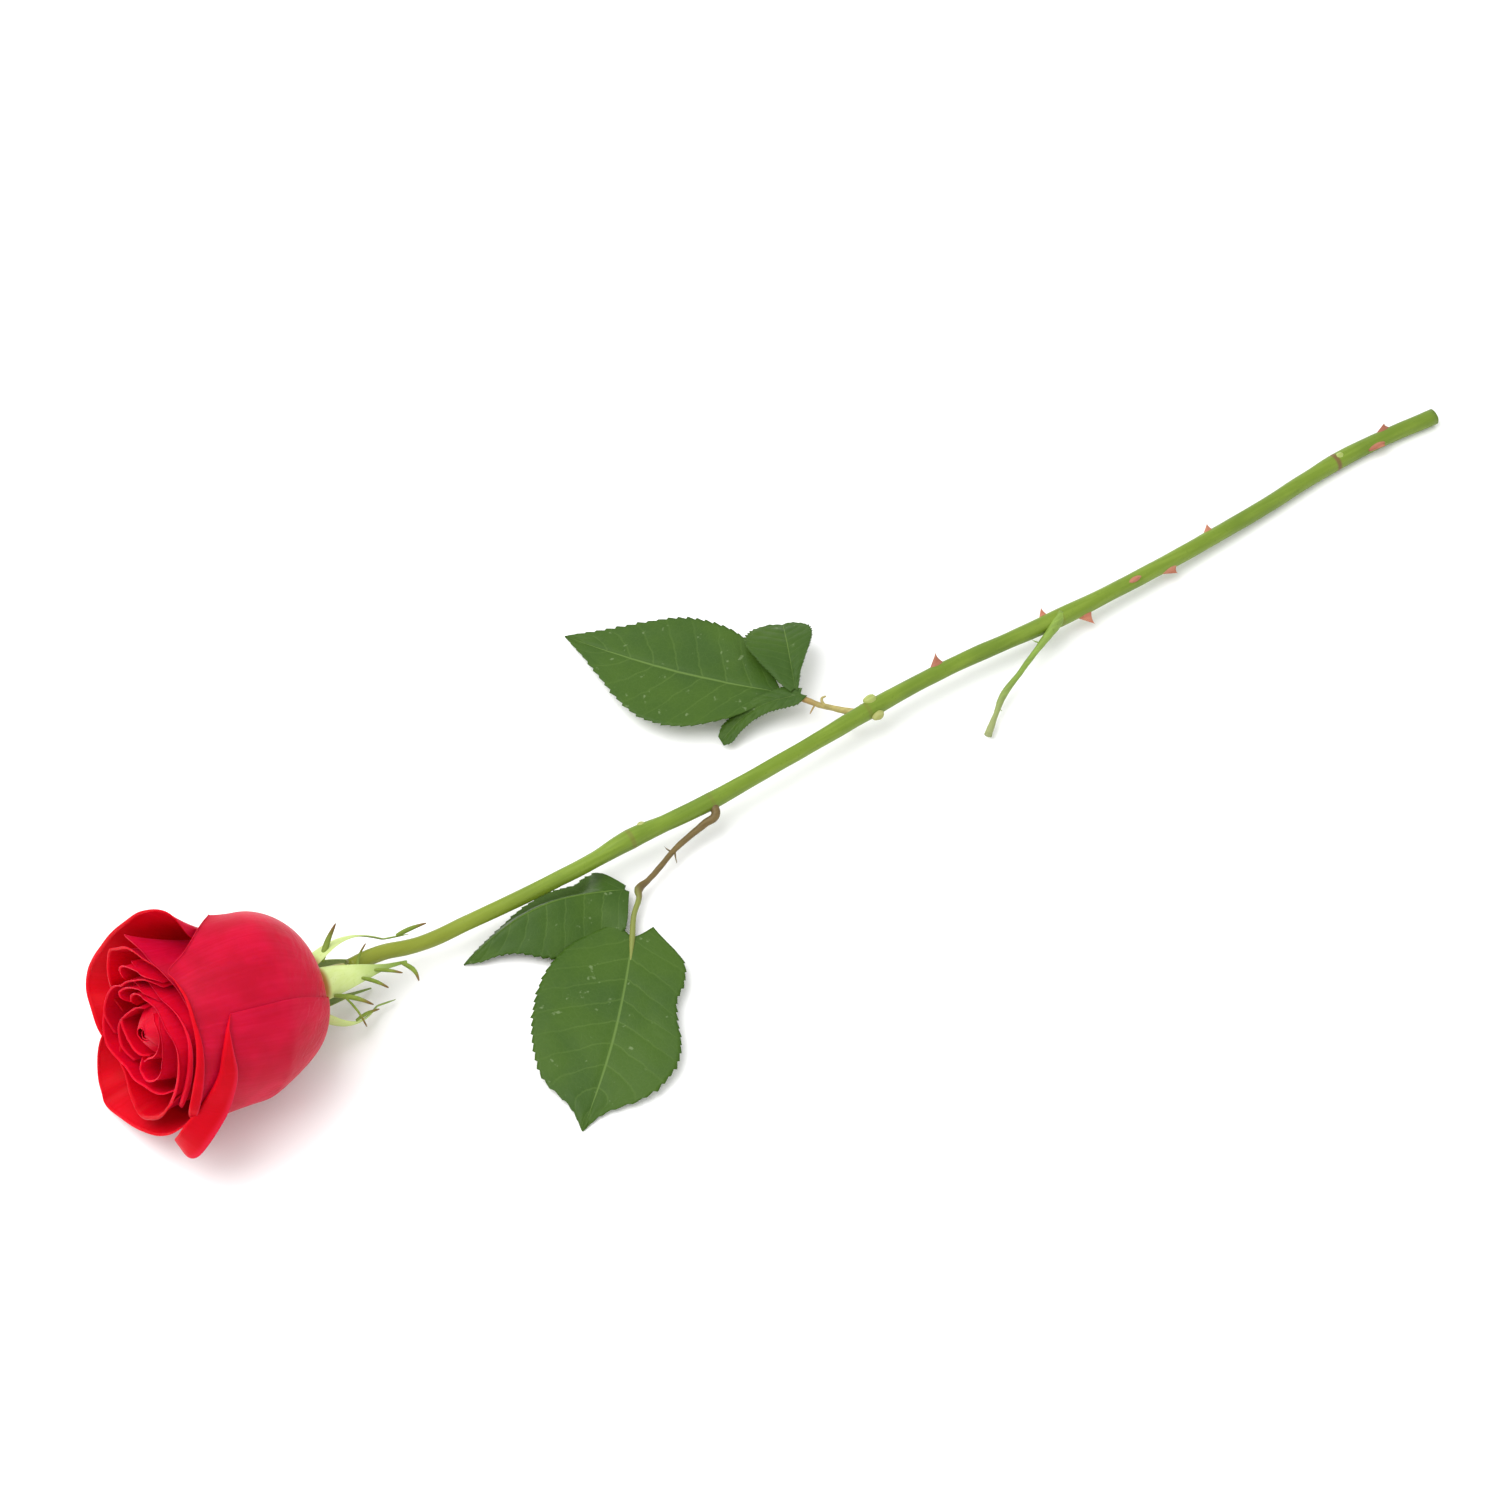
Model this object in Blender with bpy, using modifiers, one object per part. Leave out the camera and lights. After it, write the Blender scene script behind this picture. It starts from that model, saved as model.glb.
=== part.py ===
"""A cut red rose lying on its side, in metres with +Z up.

Each piece is one closed object: the petals, the sepals, the receptacle that carries them, the stem,
the leaf stalks with their leaflets, and the prickles. The bloom points along -X and the cut end of
the stem along +X. Lengths below are millimetres and become metres where the points are written.
"""

import math

import bmesh
import bpy
import numpy as np
from mathutils import Vector

MM = 0.001

# Where the work origin, the floor point below the foot of the bloom, stands in the finished frame.
SHIFT = Vector((-170.3, -1.2, 0.05))

# The bloom: its foot, and how far its axis leans up from the floor.
BLOOM_FOOT = Vector((-5.6, 0.0, 16.8))
BLOOM_LIFT = math.radians(24.0)
BELLY_RADIUS = 26.6
BELLY_HEIGHT = 20.5
RIM_HEIGHT = 48.0
DOME_RADIUS = 7.35
DOME_HEIGHT = 9.05
PETAL_THICKNESS = 0.26
OUTER_STEP = 0.044
INNER_STEP = 0.034

# The receptacle and the sepals.
SEPAL_THICKNESS = 0.6

# The stem: centre points (x, y, z) and radius, from the neck to the cut end.
STEM_LINE = (
    (9.9, 1.8, 13.9, 2.4),
    (18.4, 2.2, 12.5, 2.3),
    (31.5, 0.2, 9.6, 2.25),
    (48.0, -0.6, 8.7, 2.25),
    (68.0, -1.6, 8.6, 2.3),
    (88.0, -2.3, 9.2, 2.4),
    (100.5, -2.1, 9.8, 3.05),
    (112.0, -2.8, 9.6, 2.5),
    (127.5, -3.4, 9.4, 2.7),
    (140.0, -3.2, 9.4, 2.4),
    (163.0, -2.5, 9.3, 2.4),
    (184.5, -1.3, 9.0, 2.75),
    (201.0, -0.6, 8.4, 2.45),
    (219.0, -0.9, 8.0, 2.45),
    (237.0, -2.0, 7.5, 2.5),
    (254.5, -3.0, 6.9, 2.85),
    (273.5, -3.1, 6.0, 2.5),
    (293.0, -2.7, 5.0, 2.5),
    (313.0, -1.8, 4.0, 2.5),
    (334.0, -0.6, 3.2, 2.5),
    (355.0, 1.2, 2.8, 2.5),
    (366.0, 1.9, 2.7, 2.75),
    (385.0, 1.5, 2.6, 2.55),
    (404.5, -0.3, 2.65, 2.6),
)
STEM_SIDES = 12

# Each stalk is a line of (x, y, z, radius).
STALK_A = (
    (184.2, 3.3, 8.4, 1.4),
    (180.4, 4.4, 8.1, 1.1),
    (175.7, 6.6, 8.0, 0.95),
    (172.8, 10.5, 8.0, 0.9),
    (170.9, 14.2, 8.4, 0.95),
    (169.9, 17.0, 8.7, 1.1),
)
STALK_B = (
    (126.6, -7.7, 8.4, 1.35),
    (122.7, -7.9, 7.2, 1.15),
    (118.0, -8.3, 6.0, 1.0),
    (111.5, -9.5, 5.0, 0.95),
    (104.7, -12.0, 4.4, 0.95),
    (99.4, -13.9, 4.1, 0.95),
    (95.4, -15.0, 4.0, 1.35),
    (94.0, -17.4, 3.9, 0.95),
    (91.0, -21.6, 3.6, 0.9),
    (88.6, -25.0, 3.4, 0.95),
)
STALK_STUB = (
    (251.4, -7.3, 6.0, 1.3),
    (247.6, -8.2, 5.8, 1.1),
    (242.6, -9.0, 5.6, 1.05),
    (234.0, -12.6, 4.6, 1.0),
    (224.4, -17.4, 3.6, 1.25),
    (217.6, -21.6, 2.8, 0.95),
    (212.2, -24.8, 2.2, 1.4),
)
STALK_SIDES = 6

# Half the width of a leaflet, as a share of its widest, at even steps from the base to the tip.
POINTED = (0.0, 0.42, 0.72, 0.93, 1.0, 0.98, 0.84, 0.62, 0.38, 0.18, 0.0)
BROAD = (0.0, 0.58, 0.84, 0.96, 1.0, 1.01, 0.98, 0.91, 0.76, 0.42, 0.0)
LEAF_THICKNESS = 0.5
LEAF_STEPS = 24
TOOTH = 0.03

# Prickles: (distance along x, turn round the stem from straight up, height, length on the stem).
PRICKLES = (
    (211.5, 52.0, 4.3, 6.0),
    (250.0, 62.0, 3.6, 4.0),
    (262.5, -118.0, 4.6, 5.6),
    (282.0, -28.0, 1.2, 5.4),
    (295.0, -105.0, 2.4, 5.2),
    (314.0, 58.0, 2.8, 3.6),
    (381.0, -72.0, 1.8, 5.6),
    (386.0, 48.0, 2.2, 5.0),
)

UP = Vector((math.sin(BLOOM_LIFT), 0.0, math.cos(BLOOM_LIFT)))
SIDE = Vector((0.0, 1.0, 0.0))
AXIS = Vector((-math.cos(BLOOM_LIFT), 0.0, math.sin(BLOOM_LIFT)))


def clamp(value, low=0.0, high=1.0):
    return max(low, min(high, value))


def smooth(value):
    value = clamp(value)
    return value * value * (3.0 - 2.0 * value)


def between(table, place):
    """The value at a place from 0 to 1 along an evenly spaced table, along a smooth curve."""
    spots = np.linspace(0.0, 1.0, len(table))
    place = clamp(place)
    index = min(int(place * (len(table) - 1)), len(table) - 2)
    part = (place - spots[index]) * (len(table) - 1)
    left, right = table[index], table[index + 1]
    slope_left = (right - table[max(index - 1, 0)]) / (1.0 if index == 0 else 2.0)
    slope_right = (table[min(index + 2, len(table) - 1)] - left)
    slope_right /= 1.0 if index == len(table) - 2 else 2.0
    return (
        left * (1 + 2 * part) * (1 - part) ** 2
        + right * part * part * (3 - 2 * part)
        + slope_left * part * (1 - part) ** 2
        - slope_right * part * part * (1 - part)
    )


def bloom_point(radius, turn, height):
    """A point of the bloom from its cylinder coordinates; turn is in degrees from straight up."""
    angle = math.radians(turn)
    return (
        BLOOM_FOOT
        + AXIS * height
        + (UP * math.cos(angle) + SIDE * math.sin(angle)) * radius
    )


def material(name, colour, roughness):
    made = bpy.data.materials.get(name) or bpy.data.materials.new(name)
    made.use_nodes = True
    shader = made.node_tree.nodes["Principled BSDF"]
    shader.inputs["Base Color"].default_value = (*colour, 1.0)
    shader.inputs["Roughness"].default_value = roughness
    made.diffuse_color = (*colour, 1.0)
    return made


def finish(name, bm, collection, look, flat=False):
    """Writes the bmesh, still in millimetres, as an object in metres in the finished frame."""
    for vert in bm.verts:
        vert.co = (vert.co + SHIFT) * MM
    bmesh.ops.recalc_face_normals(bm, faces=bm.faces)
    mesh = bpy.data.meshes.new(name)
    bm.to_mesh(mesh)
    bm.free()
    for face in mesh.polygons:
        face.use_smooth = not flat
    made = bpy.data.objects.new(name, mesh)
    collection.objects.link(made)
    mesh.materials.append(material(name, *look))
    return made


def sheet(name, across, along, place, thickness, collection, look):
    """A bent sheet: a grid whose points are set by place(s, t), given a thickness.

    s runs from -1 to 1 across and t from 0 to 1 along.
    """
    bm = bmesh.new()
    bmesh.ops.create_grid(bm, x_segments=across, y_segments=along, size=1.0)
    for vert in bm.verts:
        vert.co = place(vert.co.x, (vert.co.y + 1.0) / 2.0)
    made = finish(name, bm, collection, look)
    solid = made.modifiers.new("Thickness", "SOLIDIFY")
    solid.thickness = thickness * MM
    solid.offset = 0.0
    solid.use_even_offset = False
    return made


# --- the bloom ------------------------------------------------------------------------------------


def foot_lift(layer):
    """Angle up the dome at which the petal of a layer stands."""
    return math.radians(84.0 - 90.0 * layer)


def shell_radius(layer, turn, height):
    """Radius of the nested petal shells: layer 0 is the middle of the bloom, 1 the outside.

    Every petal lies on one of these shells, and a larger layer is always further out.
    """
    foot_radius = DOME_RADIUS * math.cos(foot_lift(layer))
    bottom = DOME_HEIGHT * math.sin(foot_lift(layer))
    belly = 2.6 + (BELLY_RADIUS - 2.6) * layer
    belly_height = BELLY_HEIGHT + 6.0 * (1.0 - layer)
    if height < belly_height:
        place = clamp((height - bottom) / (belly_height - bottom))
        hollow = 0.055 * (1 + math.cos(math.radians(turn + 110.0))) * math.sin(math.pi * place)
        return foot_radius + (belly - foot_radius) * (math.sqrt(1 - (1 - place) ** 2) - hollow)
    place = (height - belly_height) / (RIM_HEIGHT - belly_height)
    rim = (1.2 + 25.0 * layer**1.1) * (1 + 0.36 * math.cos(math.radians(turn - 140.0)))
    rim += 4.8 * (1 - math.cos(math.radians(turn + 30.0))) * smooth((layer - 0.78) / 0.09)
    return belly + (rim - belly) * place**1.8


# The petals from the outside in. turn: direction of the middle, in degrees from straight up towards
# the far side. half: half the angle it wraps. height: where its rim starts to roll. curl: length of
# rim that rolls out, and bend: how far, in degrees. tip: a point of the rim as (place across, size).
# corner: how much lower the rim is at the sides. foot: share of the width that is left at the foot.
PLAIN = {"curl": 2.0, "bend": 36.0, "flap": False, "tip": (0.0, 0.8), "corner": 0.13, "foot": 0.4}
OUTER_PETALS = (
    {"turn": -102.0, "half": 63.0, "height": 40.4, "curl": 7.5, "bend": 106.0, "flap": True,
     "tip": (-0.66, 3.0), "foot": 0.72, "corner": 0.08},
    {"turn": -42.0, "half": 82.0, "height": 43.4, "curl": 2.4, "tip": (0.71, 6.0), "foot": 0.6,
     "corner": 0.28},
    {"turn": -168.0, "half": 56.0, "height": 36.8, "foot": 0.5},
    {"turn": 84.0, "half": 66.0, "height": 42.8, "curl": 4.6, "bend": 56.0, "foot": 0.5,
     "tip": (-0.5, 1.6), "corner": 0.06},
    {"turn": 184.0, "half": 58.0, "height": 46.3, "curl": 4.0, "bend": 46.0, "foot": 0.5,
     "tip": (0.3, 1.2), "corner": 0.07},
    {"turn": -8.0, "half": 74.0, "height": 44.8, "curl": 2.2, "tip": (0.92, 4.0), "foot": 0.5},
    {"turn": 92.0, "half": 62.0, "height": 45.2},
    {"turn": 172.0, "half": 66.0, "height": 45.8},
    {"turn": -92.0, "half": 62.0, "height": 45.2},
)
MIDDLE_PETALS = (
    {"turn": -30.0, "half": 62.0, "height": 46.2, "tip": (0.5, 1.6)},
    {"turn": -150.0, "half": 60.0, "height": 45.8},
    {"turn": 66.0, "half": 64.0, "height": 46.0},
    {"turn": -62.0, "half": 66.0, "height": 46.8, "tip": (0.4, 1.2)},
    {"turn": 42.0, "half": 58.0, "height": 47.2},
)
HEART_PETALS = 13
GOLDEN = 137.5


def petal_table():
    """Every petal from the outside in, with its layer."""
    rows = [dict(PLAIN, **row) for row in OUTER_PETALS]
    rows += [dict(PLAIN, curl=1.6, foot=0.3, **row) for row in MIDDLE_PETALS]
    for count in range(HEART_PETALS):
        inward = count / (HEART_PETALS - 1)
        row = dict(PLAIN, turn=150.0 - GOLDEN * count, half=72.0 + 52.0 * inward, foot=0.25)
        row.update(height=47.2 + 1.8 * math.sin(3.0 * inward), curl=1.4 - 0.8 * inward, corner=0.1)
        rows.append(row)
    layer = 0.985
    for count, row in enumerate(rows):
        row["layer"] = layer
        row["tilt"] = 0.0 if count < len(OUTER_PETALS) + len(MIDDLE_PETALS) else 0.004
        layer -= OUTER_STEP if count < len(OUTER_PETALS) else INNER_STEP
    return rows


def petal_place(row):
    """The function that sets the points of one petal."""

    def width(t):
        share = row["foot"] + (1.0 - row["foot"]) * math.sin(math.pi / 2 * clamp(t / 0.62))
        return share * (1.0 - 0.16 * clamp((t - 0.62) / 0.38) ** 2.5)

    def place(s, t):
        layer = row["layer"] - row["tilt"] * s
        turn = row["turn"] + row["half"] * width(t) * s
        tip_at, tip_size = row["tip"]
        tip = tip_size * math.exp(-(((s - tip_at) / 0.2) ** 2))
        fold = row["height"] * (1.0 - row["corner"] * abs(s) ** 3.2) + 0.5 * tip
        roll = row["curl"] + 0.5 * tip
        if row["flap"]:
            roll *= 0.08 + 0.92 * smooth((1.0 - s) / 0.75)
        bottom = DOME_HEIGHT * math.sin(foot_lift(layer))
        share = 0.78
        if t <= share:
            height = bottom + (fold - bottom) * (t / share) ** 1.35
            return bloom_point(shell_radius(layer, turn, height), turn, height)
        bend = math.radians(row["bend"])
        part = (t - share) / (1.0 - share)
        height = fold + roll * math.sin(bend * part) / bend
        out = roll * (1.0 - math.cos(bend * part)) / bend
        return bloom_point(shell_radius(layer, turn, height) + out, turn, height)

    return place


def make_petals(collection):
    red = ((0.62, 0.004, 0.025), 0.5)
    for index, row in enumerate(petal_table()):
        along = 8 if index < len(OUTER_PETALS) else 6
        name = f"petal_{index + 1:02d}"
        sheet(name, 9, along, petal_place(row), PETAL_THICKNESS, collection, red)


def make_receptacle(collection):
    """A turned body: the dome the petals stand on, the ring of the sepals, and the hip."""
    profile = [(0.0, 8.4), (2.4, 7.9), (4.6, 6.2), (6.1, 3.6), (6.7, 1.4), (6.9, 0.2)]
    profile += [(6.9, -1.2), (6.2, -3.0), (5.0, -5.6), (3.8, -9.6), (2.6, -14.4), (0.0, -14.4)]
    bm = bmesh.new()
    points = [bm.verts.new((radius, 0.0, height)) for radius, height in profile]
    edges = [bm.edges.new(pair) for pair in zip(points, points[1:])]
    bmesh.ops.spin(
        bm,
        geom=points + edges,
        cent=(0, 0, 0),
        axis=(0, 0, 1),
        angle=2 * math.pi,
        steps=16,
        use_merge=True,
    )
    bmesh.ops.remove_doubles(bm, verts=bm.verts, dist=0.001)
    for vert in bm.verts:
        x, y, height = vert.co
        lean = max(0.0, -height - 1.0) ** 1.5 / 49.0
        vert.co = (
            BLOOM_FOOT + AXIS * height + UP * (x + 2.6 * lean) + SIDE * (y + 1.7 * lean)
        )
    finish("receptacle", bm, collection, ((0.45, 0.55, 0.12), 0.6))


# Sepals: (turn, spread away from the hip, length, half width at the foot).
SEPALS = (
    (-35.0, 0.4, 34.0, 6.6),
    (48.0, 4.6, 38.0, 4.6),
    (112.0, 3.4, 30.0, 4.6),
    (178.0, 0.4, 23.5, 4.4),
    (-116.0, 4.8, 26.0, 4.6),
)


def sepal_place(row):
    """The function that sets the points of one sepal, which lies back along the stem."""
    turn, spread, length, half = row

    def place(s, t):
        width = half * (1.0 - t) ** 0.75 * (1.0 + 0.15 * math.sin(math.pi * t)) + 0.35
        radius = 8.3 + spread * math.sin(math.pi * min(t * 1.15, 0.86)) - 1.6 * t
        height = -1.6 - length * t
        angle = turn + math.degrees(s * width / (radius + 1.0)) * 0.9
        return bloom_point(radius - 0.02 * (s * width) ** 2, angle, height)

    return place


def make_sepals(collection):
    green = ((0.55, 0.66, 0.24), 0.6)
    for index, row in enumerate(SEPALS):
        sheet(f"sepal_{index + 1}", 4, 9, sepal_place(row), SEPAL_THICKNESS, collection, green)


# --- stem, stalks and prickles --------------------------------------------------------------------


def tube(name, line, sides, steps, collection, look):
    """A round shoot along (x, y, z, radius) points: a Bezier curve with a bevel and closed ends."""
    curve = bpy.data.curves.new(name, "CURVE")
    curve.dimensions = "3D"
    curve.bevel_depth = MM
    curve.bevel_resolution = (sides - 4) // 2
    curve.resolution_u = steps
    curve.use_fill_caps = True
    spline = curve.splines.new("BEZIER")
    spline.bezier_points.add(len(line) - 1)
    for point, (x, y, z, radius) in zip(spline.bezier_points, line):
        point.co = (Vector((x, y, z)) + SHIFT) * MM
        point.radius = radius
        point.handle_left_type = point.handle_right_type = "AUTO"
    made = bpy.data.objects.new(name, curve)
    collection.objects.link(made)
    curve.materials.append(material(name, *look))
    return made


def stem_at(x):
    """Centre and radius of the stem at a distance x, between its listed points."""
    rows = np.array(STEM_LINE)
    values = [float(np.interp(x, rows[:, 0], rows[:, column])) for column in (1, 2, 3)]
    return Vector((x, values[0], values[1])), values[2]


def make_prickles(collection):
    for index, (x, turn, height, length) in enumerate(PRICKLES):
        centre, radius = stem_at(x)
        angle = math.radians(turn)
        out = Vector((0.0, math.sin(angle), math.cos(angle)))
        across = Vector((0.0, math.cos(angle), -math.sin(angle)))
        bm = bmesh.new()
        bmesh.ops.create_cone(
            bm,
            cap_ends=True,
            segments=10,
            radius1=1.0,
            radius2=0.12,
            depth=1.0,
        )
        for vert in bm.verts:
            share = vert.co.z + 0.5
            forward = vert.co.x * length / 2 + 0.22 * length * share
            sideways = vert.co.y * min(1.2, length / 4)
            vert.co = (
                centre
                + out * (radius + 0.45 + height * share)
                + Vector((forward, 0.0, 0.0))
                + across * sideways
            )
        finish(f"prickle_{index + 1}", bm, collection, ((0.55, 0.25, 0.14), 0.55))


# --- leaves ---------------------------------------------------------------------------------------

# Each leaflet: outline, base, tip, half width, arch (how far the middle rises), sweep (how far the
# midrib bows sideways), and slopes of the left and the right half in degrees.
LEAFLETS = {
    "leaflet_a_end": (POINTED, (166.8, 19.6, 7.8), (126.4, 77.8, 0.4), 20.4, 1.4, -3.2, 3, 3),
    "leaflet_a_far": (BROAD, (170.6, 18.9, 9.9), (181.0, 47.0, 3.0), 11.0, 9.5, 0.0, 14, 14),
    "leaflet_a_near": (BROAD, (167.9, 13.7, 7.2), (144.2, 14.0, 2.0), 6.0, 0.8, 1.0, -32, 0),
    "leaflet_b_end": (BROAD, (86.0, -27.6, 3.2), (40.9, -72.3, 0.4), 19.8, 1.4, -2.4, 3, 3),
    "leaflet_b_side": (POINTED, (91.8, -13.2, 4.4), (40.6, -7.6, 0.9), 16.0, 5.8, 3.6, -22, -62),
}


def leaf_place(row):
    """The function that sets the points of one leaflet."""
    outline, base, tip, half, arch, sweep, left_slope, right_slope = row
    base, tip = Vector(base), Vector(tip)
    along = tip - base
    length = along.length
    along.normalize()
    across = along.cross(Vector((0, 0, 1))).normalized()
    rise = across.cross(along).normalized()

    def place(s, t):
        width = half * between(outline, t) + 0.35
        step = int(round(t * LEAF_STEPS))
        if abs(s) > 0.9 and 1 < step < LEAF_STEPS - 1:
            width *= 1.0 + (TOOTH if step % 2 else -TOOTH)
        bow = math.sin(math.pi * t)
        slope = math.radians(left_slope if s < 0 else right_slope)
        slope *= smooth(t * 4.0)
        out = s * width * math.cos(slope)
        lift = arch * bow + abs(s) * width * math.sin(slope)
        back = -0.16 * half * abs(s) ** 1.5 * math.exp(-t * 9.0)
        point = base + along * (length * t + back) + across * (out + sweep * bow) + rise * lift
        point.z = max(point.z, LEAF_THICKNESS / 2.0 + 0.05)
        return point

    return place


def make_leaflets(collection):
    for name, row in LEAFLETS.items():
        look = ((0.075, 0.155, 0.035), 0.5)
        sheet(name, 4, LEAF_STEPS, leaf_place(row), LEAF_THICKNESS, collection, look)


def main():
    for old in list(bpy.data.objects):
        bpy.data.objects.remove(old)
    rose = bpy.data.collections.new("cut_rose")
    bpy.context.scene.collection.children.link(rose)
    make_petals(rose)
    make_receptacle(rose)
    make_sepals(rose)
    green = ((0.22, 0.33, 0.035), 0.5)
    tube("stem", STEM_LINE, STEM_SIDES, 2, rose, green)
    tube("leaf_stalk_a", STALK_A, STALK_SIDES, 2, rose, ((0.28, 0.26, 0.07), 0.6))
    tube("leaf_stalk_b", STALK_B, STALK_SIDES, 2, rose, ((0.26, 0.22, 0.08), 0.6))
    tube("leaf_stalk_stub", STALK_STUB, STALK_SIDES, 2, rose, ((0.33, 0.42, 0.10), 0.6))
    make_leaflets(rose)
    make_prickles(rose)


main()
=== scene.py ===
"""Finishes of a cut red rose lying on its side, laid out as a Blender add-on and run as a script.

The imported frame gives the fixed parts. Each is replaced by a fine mesh of the same shape with a
procedural material: petals, sepals, receptacle, stem, stalks, leaflets and prickles. Lengths in the
shape functions are millimetres in the work frame, whose origin is the floor point below the foot of
the bloom; they become metres in the finished frame where the meshes are written.
"""

import math

import bmesh
import bpy
import numpy as np
from bpy.props import FloatProperty, FloatVectorProperty, IntProperty, PointerProperty
from mathutils import Matrix, Vector, noise


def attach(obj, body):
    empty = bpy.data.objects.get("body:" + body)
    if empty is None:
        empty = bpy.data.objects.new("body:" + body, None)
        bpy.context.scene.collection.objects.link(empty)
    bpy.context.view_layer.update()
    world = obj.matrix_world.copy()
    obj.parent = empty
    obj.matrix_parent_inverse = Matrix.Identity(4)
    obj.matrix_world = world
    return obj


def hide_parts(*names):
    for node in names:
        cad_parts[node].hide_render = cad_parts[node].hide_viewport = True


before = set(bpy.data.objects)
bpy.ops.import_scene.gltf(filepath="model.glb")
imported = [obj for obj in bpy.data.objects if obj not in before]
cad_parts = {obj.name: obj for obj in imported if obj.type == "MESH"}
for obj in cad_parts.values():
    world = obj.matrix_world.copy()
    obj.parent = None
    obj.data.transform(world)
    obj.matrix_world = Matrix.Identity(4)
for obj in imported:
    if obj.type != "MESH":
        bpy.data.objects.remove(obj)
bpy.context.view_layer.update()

bl_info = {
    "name": "Cut rose",
    "version": (1, 0, 0),
    "blender": (4, 5, 0),
    "location": "View3D > Sidebar > Rose",
    "description": "Builds the fine petals, leaves and stem of a cut rose over its frame",
    "category": "Object",
}

MM = 0.001
UV_NAME = "Surface"
# Sheets thin out towards their edges: over this share of their size, to this share of their thickness.
THIN_EDGE = 0.12
EDGE_THICKNESS = 0.35
BODY = "root"

# Where the work origin stands in the finished frame.
SHIFT = Vector((-170.3, -1.2, 0.05))

# The bloom: its foot, how far its axis leans up from the floor, and the nested petal shells.
BLOOM_FOOT = Vector((-5.6, 0.0, 16.8))
BLOOM_LIFT = math.radians(24.0)
BELLY_RADIUS = 26.6
BELLY_HEIGHT = 20.5
DOME_RADIUS = 7.35
DOME_HEIGHT = 9.05
OUTER_STEP = 0.044
INNER_STEP = 0.034
FOLD_AT = 0.78
FOLD_RADIUS = 0.7
OUTER_PETALS = 9
OUTERMOST_LAYER = 0.985
CORE_RADIUS = 2.6
INNER_BELLY = 20.5
# Where the shells are hollowed and bulged round the bloom, in degrees from straight up.
HOLLOW_TURN = -110.0
HOLLOW_DEPTH = 0.055
BULGE_TURN = 22.0
BULGE_WIDTH = 36.0
UP = Vector((math.sin(BLOOM_LIFT), 0.0, math.cos(BLOOM_LIFT)))
SIDE = Vector((0.0, 1.0, 0.0))
AXIS = Vector((-math.cos(BLOOM_LIFT), 0.0, math.sin(BLOOM_LIFT)))

# The stem: centre points (x, y, z) and radius, from the neck to the cut end.
STEM_LINE = (
    (9.9, 1.8, 13.9, 2.4),
    (18.4, 2.2, 12.5, 2.3),
    (31.5, 0.2, 9.6, 2.25),
    (48.0, -0.6, 8.7, 2.25),
    (68.0, -1.6, 8.6, 2.3),
    (88.0, -2.3, 9.2, 2.4),
    (100.5, -2.1, 9.8, 3.05),
    (112.0, -2.8, 9.6, 2.5),
    (127.5, -3.4, 9.4, 2.7),
    (140.0, -3.2, 9.4, 2.4),
    (163.0, -2.5, 9.3, 2.4),
    (184.5, -1.3, 9.0, 2.75),
    (201.0, -0.6, 8.4, 2.45),
    (219.0, -0.9, 8.0, 2.45),
    (237.0, -2.0, 7.5, 2.5),
    (254.5, -3.0, 6.9, 2.85),
    (273.5, -3.1, 6.0, 2.5),
    (293.0, -2.7, 5.0, 2.5),
    (313.0, -1.8, 4.0, 2.5),
    (334.0, -0.6, 3.2, 2.5),
    (355.0, 1.2, 2.8, 2.5),
    (366.0, 1.9, 2.7, 2.75),
    (385.0, 1.5, 2.6, 2.55),
    (404.5, -0.3, 2.65, 2.6),
)
# Where a leaf grew or grows: (distance along x, half width of the brown ring, how brown).
STEM_RINGS = (
    (100.5, 0.7, 0.35),
    (127.5, 0.6, 0.2),
    (184.5, 0.7, 0.25),
    (254.5, 0.6, 0.2),
    (366.0, 0.8, 1.0),
)

# Pale swellings on the stem where leaves were: centre and radius.
STEM_LUMPS = (
    ((186.8, 0.5, 11.0), 1.7),
    ((186.5, -4.2, 9.0), 1.6),
    ((105.3, -0.6, 11.5), 1.1),
    ((101.1, -3.4, 9.5), 1.5),
    ((367.7, 2.0, 4.8), 1.2),
)

# Each stalk as (x, y, z, radius) points; the first lies inside the stem, so that the skins meet.
STALKS = {
    "leaf_stalk_a": (
        (184.8, 0.6, 8.9, 1.5),
        (183.3, -0.4, 8.6, 1.35),
        (180.1, 2.3, 8.3, 1.1),
        (177.0, 5.7, 8.2, 0.9),
        (174.3, 8.7, 8.3, 0.85),
        (172.3, 11.6, 8.5, 0.9),
        (170.4, 14.8, 8.3, 1.0),
        (169.2, 17.8, 7.2, 0.4),
    ),
    "leaf_stalk_b": (
        (127.6, -4.4, 9.3, 1.5),
        (126.6, -7.7, 8.4, 1.35),
        (122.7, -7.9, 7.2, 1.15),
        (118.0, -8.3, 6.0, 1.0),
        (111.5, -9.5, 5.0, 0.85),
        (104.7, -12.0, 4.4, 0.85),
        (99.4, -13.9, 4.1, 0.85),
        (95.4, -15.0, 4.0, 1.3),
        (94.0, -17.4, 3.9, 0.85),
        (89.7, -21.5, 3.6, 0.8),
        (85.2, -27.8, 3.4, 0.9),
        (79.9, -35.3, 3.0, 0.2),
    ),
    "leaf_stalk_stub": (
        (255.1, -2.8, 8.2, 1.6),
        (251.5, -5.1, 8.2, 1.7),
        (247.8, -6.7, 7.6, 1.35),
        (241.8, -8.9, 6.4, 0.95),
        (233.0, -12.5, 5.2, 0.85),
        (224.3, -16.0, 3.9, 1.15),
        (219.1, -19.8, 3.0, 0.8),
        (213.0, -24.4, 2.2, 1.25),
    ),
}
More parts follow.
